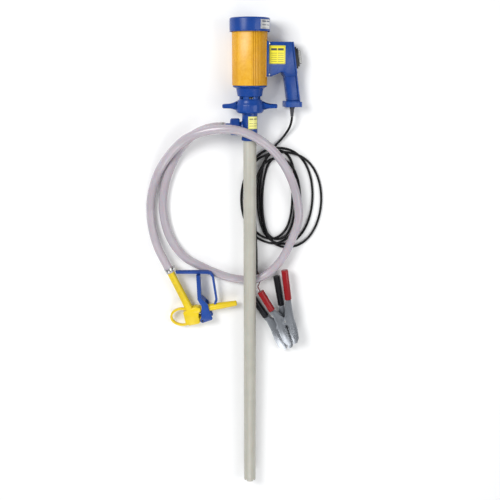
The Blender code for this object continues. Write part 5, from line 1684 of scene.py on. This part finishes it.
@dataclass(frozen=True)
class BatteryClamp:
    """One battery clamp: two pressed jaws, a pin, a spring and two sleeves.

    The pivot and the heading of the jaws are in the frame of the whole set. The moving grip
    leans out by lean from the line of the jaws, from its root beside the pivot.
    """

    prefix: str
    sleeve: Finish
    pivot: Colour
    heading: float
    lean: float = math.radians(13)
    grip_start: float = -0.044
    grip_side: float = 0.0315
    grip_gap: float = 0.0003
    grip_diameter: float = 0.023
    grip_length: float = 0.076
    play: float = 0.0038

    def nodes(self) -> list[str]:
        """Returns the names of the clamp's nodes."""
        kinds = ("clamp_fixed_jaw", "clamp_moving_jaw", "clamp_pin", "clamp_spring", "grip_fixed",
                 "grip_moving")
        return [f"{self.prefix}_{kind}" for kind in kinds]

    def wire_end(self) -> tuple[np.ndarray, np.ndarray]:
        """Finds where the wire ends at the moving grip, in the frame of the whole set.

        Returns:
            The wire's end, a little clear of the grip, and the direction out of the grip.
        """
        cosine, sine = math.cos(self.heading), math.sin(self.heading)
        turn = np.array([[cosine, -sine, 0], [sine, cosine, 0], [0, 0, 1]])
        root_x = self.grip_start - self.grip_gap - self.grip_diameter / 2 * math.sin(self.lean)
        root = turn @ np.array([root_x, -self.grip_side, 0])
        out = turn @ np.array([-math.cos(self.lean), -math.sin(self.lean), 0])
        return np.array(self.pivot) + root + out * (self.grip_length + self.play), out

    def build(self) -> None:
        """Dresses the jaws, the pin, the spring and the sleeves."""
        for name in self.nodes():
            if "jaw" in name:
                dress_node(name, ZINC, 0.0003, 2)
            elif "grip" in name:
                dress_node(name, self.sleeve, 0.0025, 5)
            else:
                dress_node(name, STEEL, 0.0006 if "pin" in name else 0.0)


RED = BatteryClamp("red", GRIP_RED, (0.118, 0.600, 0.0402), math.radians(-72.5))
BLACK_CLAMP = BatteryClamp("black", GRIP_BLACK, (0.100, 0.572, 0.0134), math.radians(-70))


@dataclass
class Studio:
    """Pale floor, soft lights and the camera."""

    target_y: float = -0.005
    distance: float = 2.20
    start_x: float = -0.035
    start_y: float = 0.600
    pitch: float = math.radians(14)
    lens: float = 49.0
    sensor: float = 36.0
    sky_colour: Colour = (0.95, 0.97, 1.0)
    sky_strength: float = 0.42
    floor_half: float = 6.0

    def build(self) -> None:
        """Sets the floor, the lights, the sky and the camera."""
        self.build_floor()
        self.build_light("key", (-1.6, 1.3, 2.3), 1.3, 62.0)
        self.build_light("fill", (1.9, 0.2, 2.0), 1.6, 26.0)
        self.build_light("rim", (-0.2, -2.2, 1.6), 1.4, 22.0)
        world = bpy.data.worlds.new("studio")
        bpy.context.scene.world = world
        world.use_nodes = True
        sky = world.node_tree.nodes["Background"]
        sky.inputs[0].default_value = (*self.sky_colour, 1.0)
        sky.inputs[1].default_value = self.sky_strength
        bpy.context.scene.view_settings.view_transform = "Standard"
        lens = bpy.data.cameras.new("camera")
        lens.lens = self.lens
        lens.sensor_width = self.sensor
        camera = bpy.data.objects.new("camera", lens)
        camera.location = (self.start_x, self.start_y, self.distance)
        camera.rotation_euler = (-self.pitch, 0, 0)
        bpy.context.scene.collection.objects.link(camera)
        bpy.context.scene.camera = camera

    def build_floor(self) -> None:
        """Makes a wide pale floor whose tone varies a little."""
        wide = self.floor_half
        square = [(-wide, -wide, 0), (wide, -wide, 0), (wide, wide, 0), (-wide, wide, 0)]
        mesh = bpy.data.meshes.new("floor")
        mesh.from_pydata(square, [], [(0, 1, 2, 3)])
        floor = bpy.data.objects.new("floor", mesh)
        bpy.context.scene.collection.objects.link(floor)
        material = bpy.data.materials.new("pale_floor")
        material.use_nodes = True
        graph = Graph(material.node_tree)
        patches = graph.noise(graph.place(), 3.0)
        tone = graph.mix(patches, (0.87, 0.87, 0.87), (0.90, 0.90, 0.895))
        graph.feed(material.node_tree.nodes["Principled BSDF"], Base_Color=tone, Roughness=0.7)
        mesh.materials.append(material)

    def build_light(self, name: str, place: Colour, size: float, power: float) -> None:
        """Adds a square soft light that points at the middle of the set.

        Args:
            name: The light's name.
            place: Where it is.
            size: Its side.
            power: Its power in watts.
        """
        light = bpy.data.lights.new(name, "AREA")
        light.size = size
        light.energy = power
        made = bpy.data.objects.new(name, light)
        made.location = place
        away = np.array(place) - np.array([0.0, self.target_y, 0.0])
        flat = math.hypot(away[0], away[1])
        made.rotation_euler = (math.atan2(flat, away[2]), 0, math.atan2(away[0], -away[1]))
        bpy.context.scene.collection.objects.link(made)


def main() -> None:
    """Builds the studio and every sub-assembly."""
    logging.basicConfig(level=logging.INFO, format="%(message)s")
    assemblies = (Studio(), Hose(), PowerCable(), PumpTube(), PumpHead(), WingNut(), Motor(),
                  Handle(), Nozzle(), RED, BLACK_CLAMP)
    for assembly in assemblies:
        assembly.build()


if __name__ == "__main__":
    main()
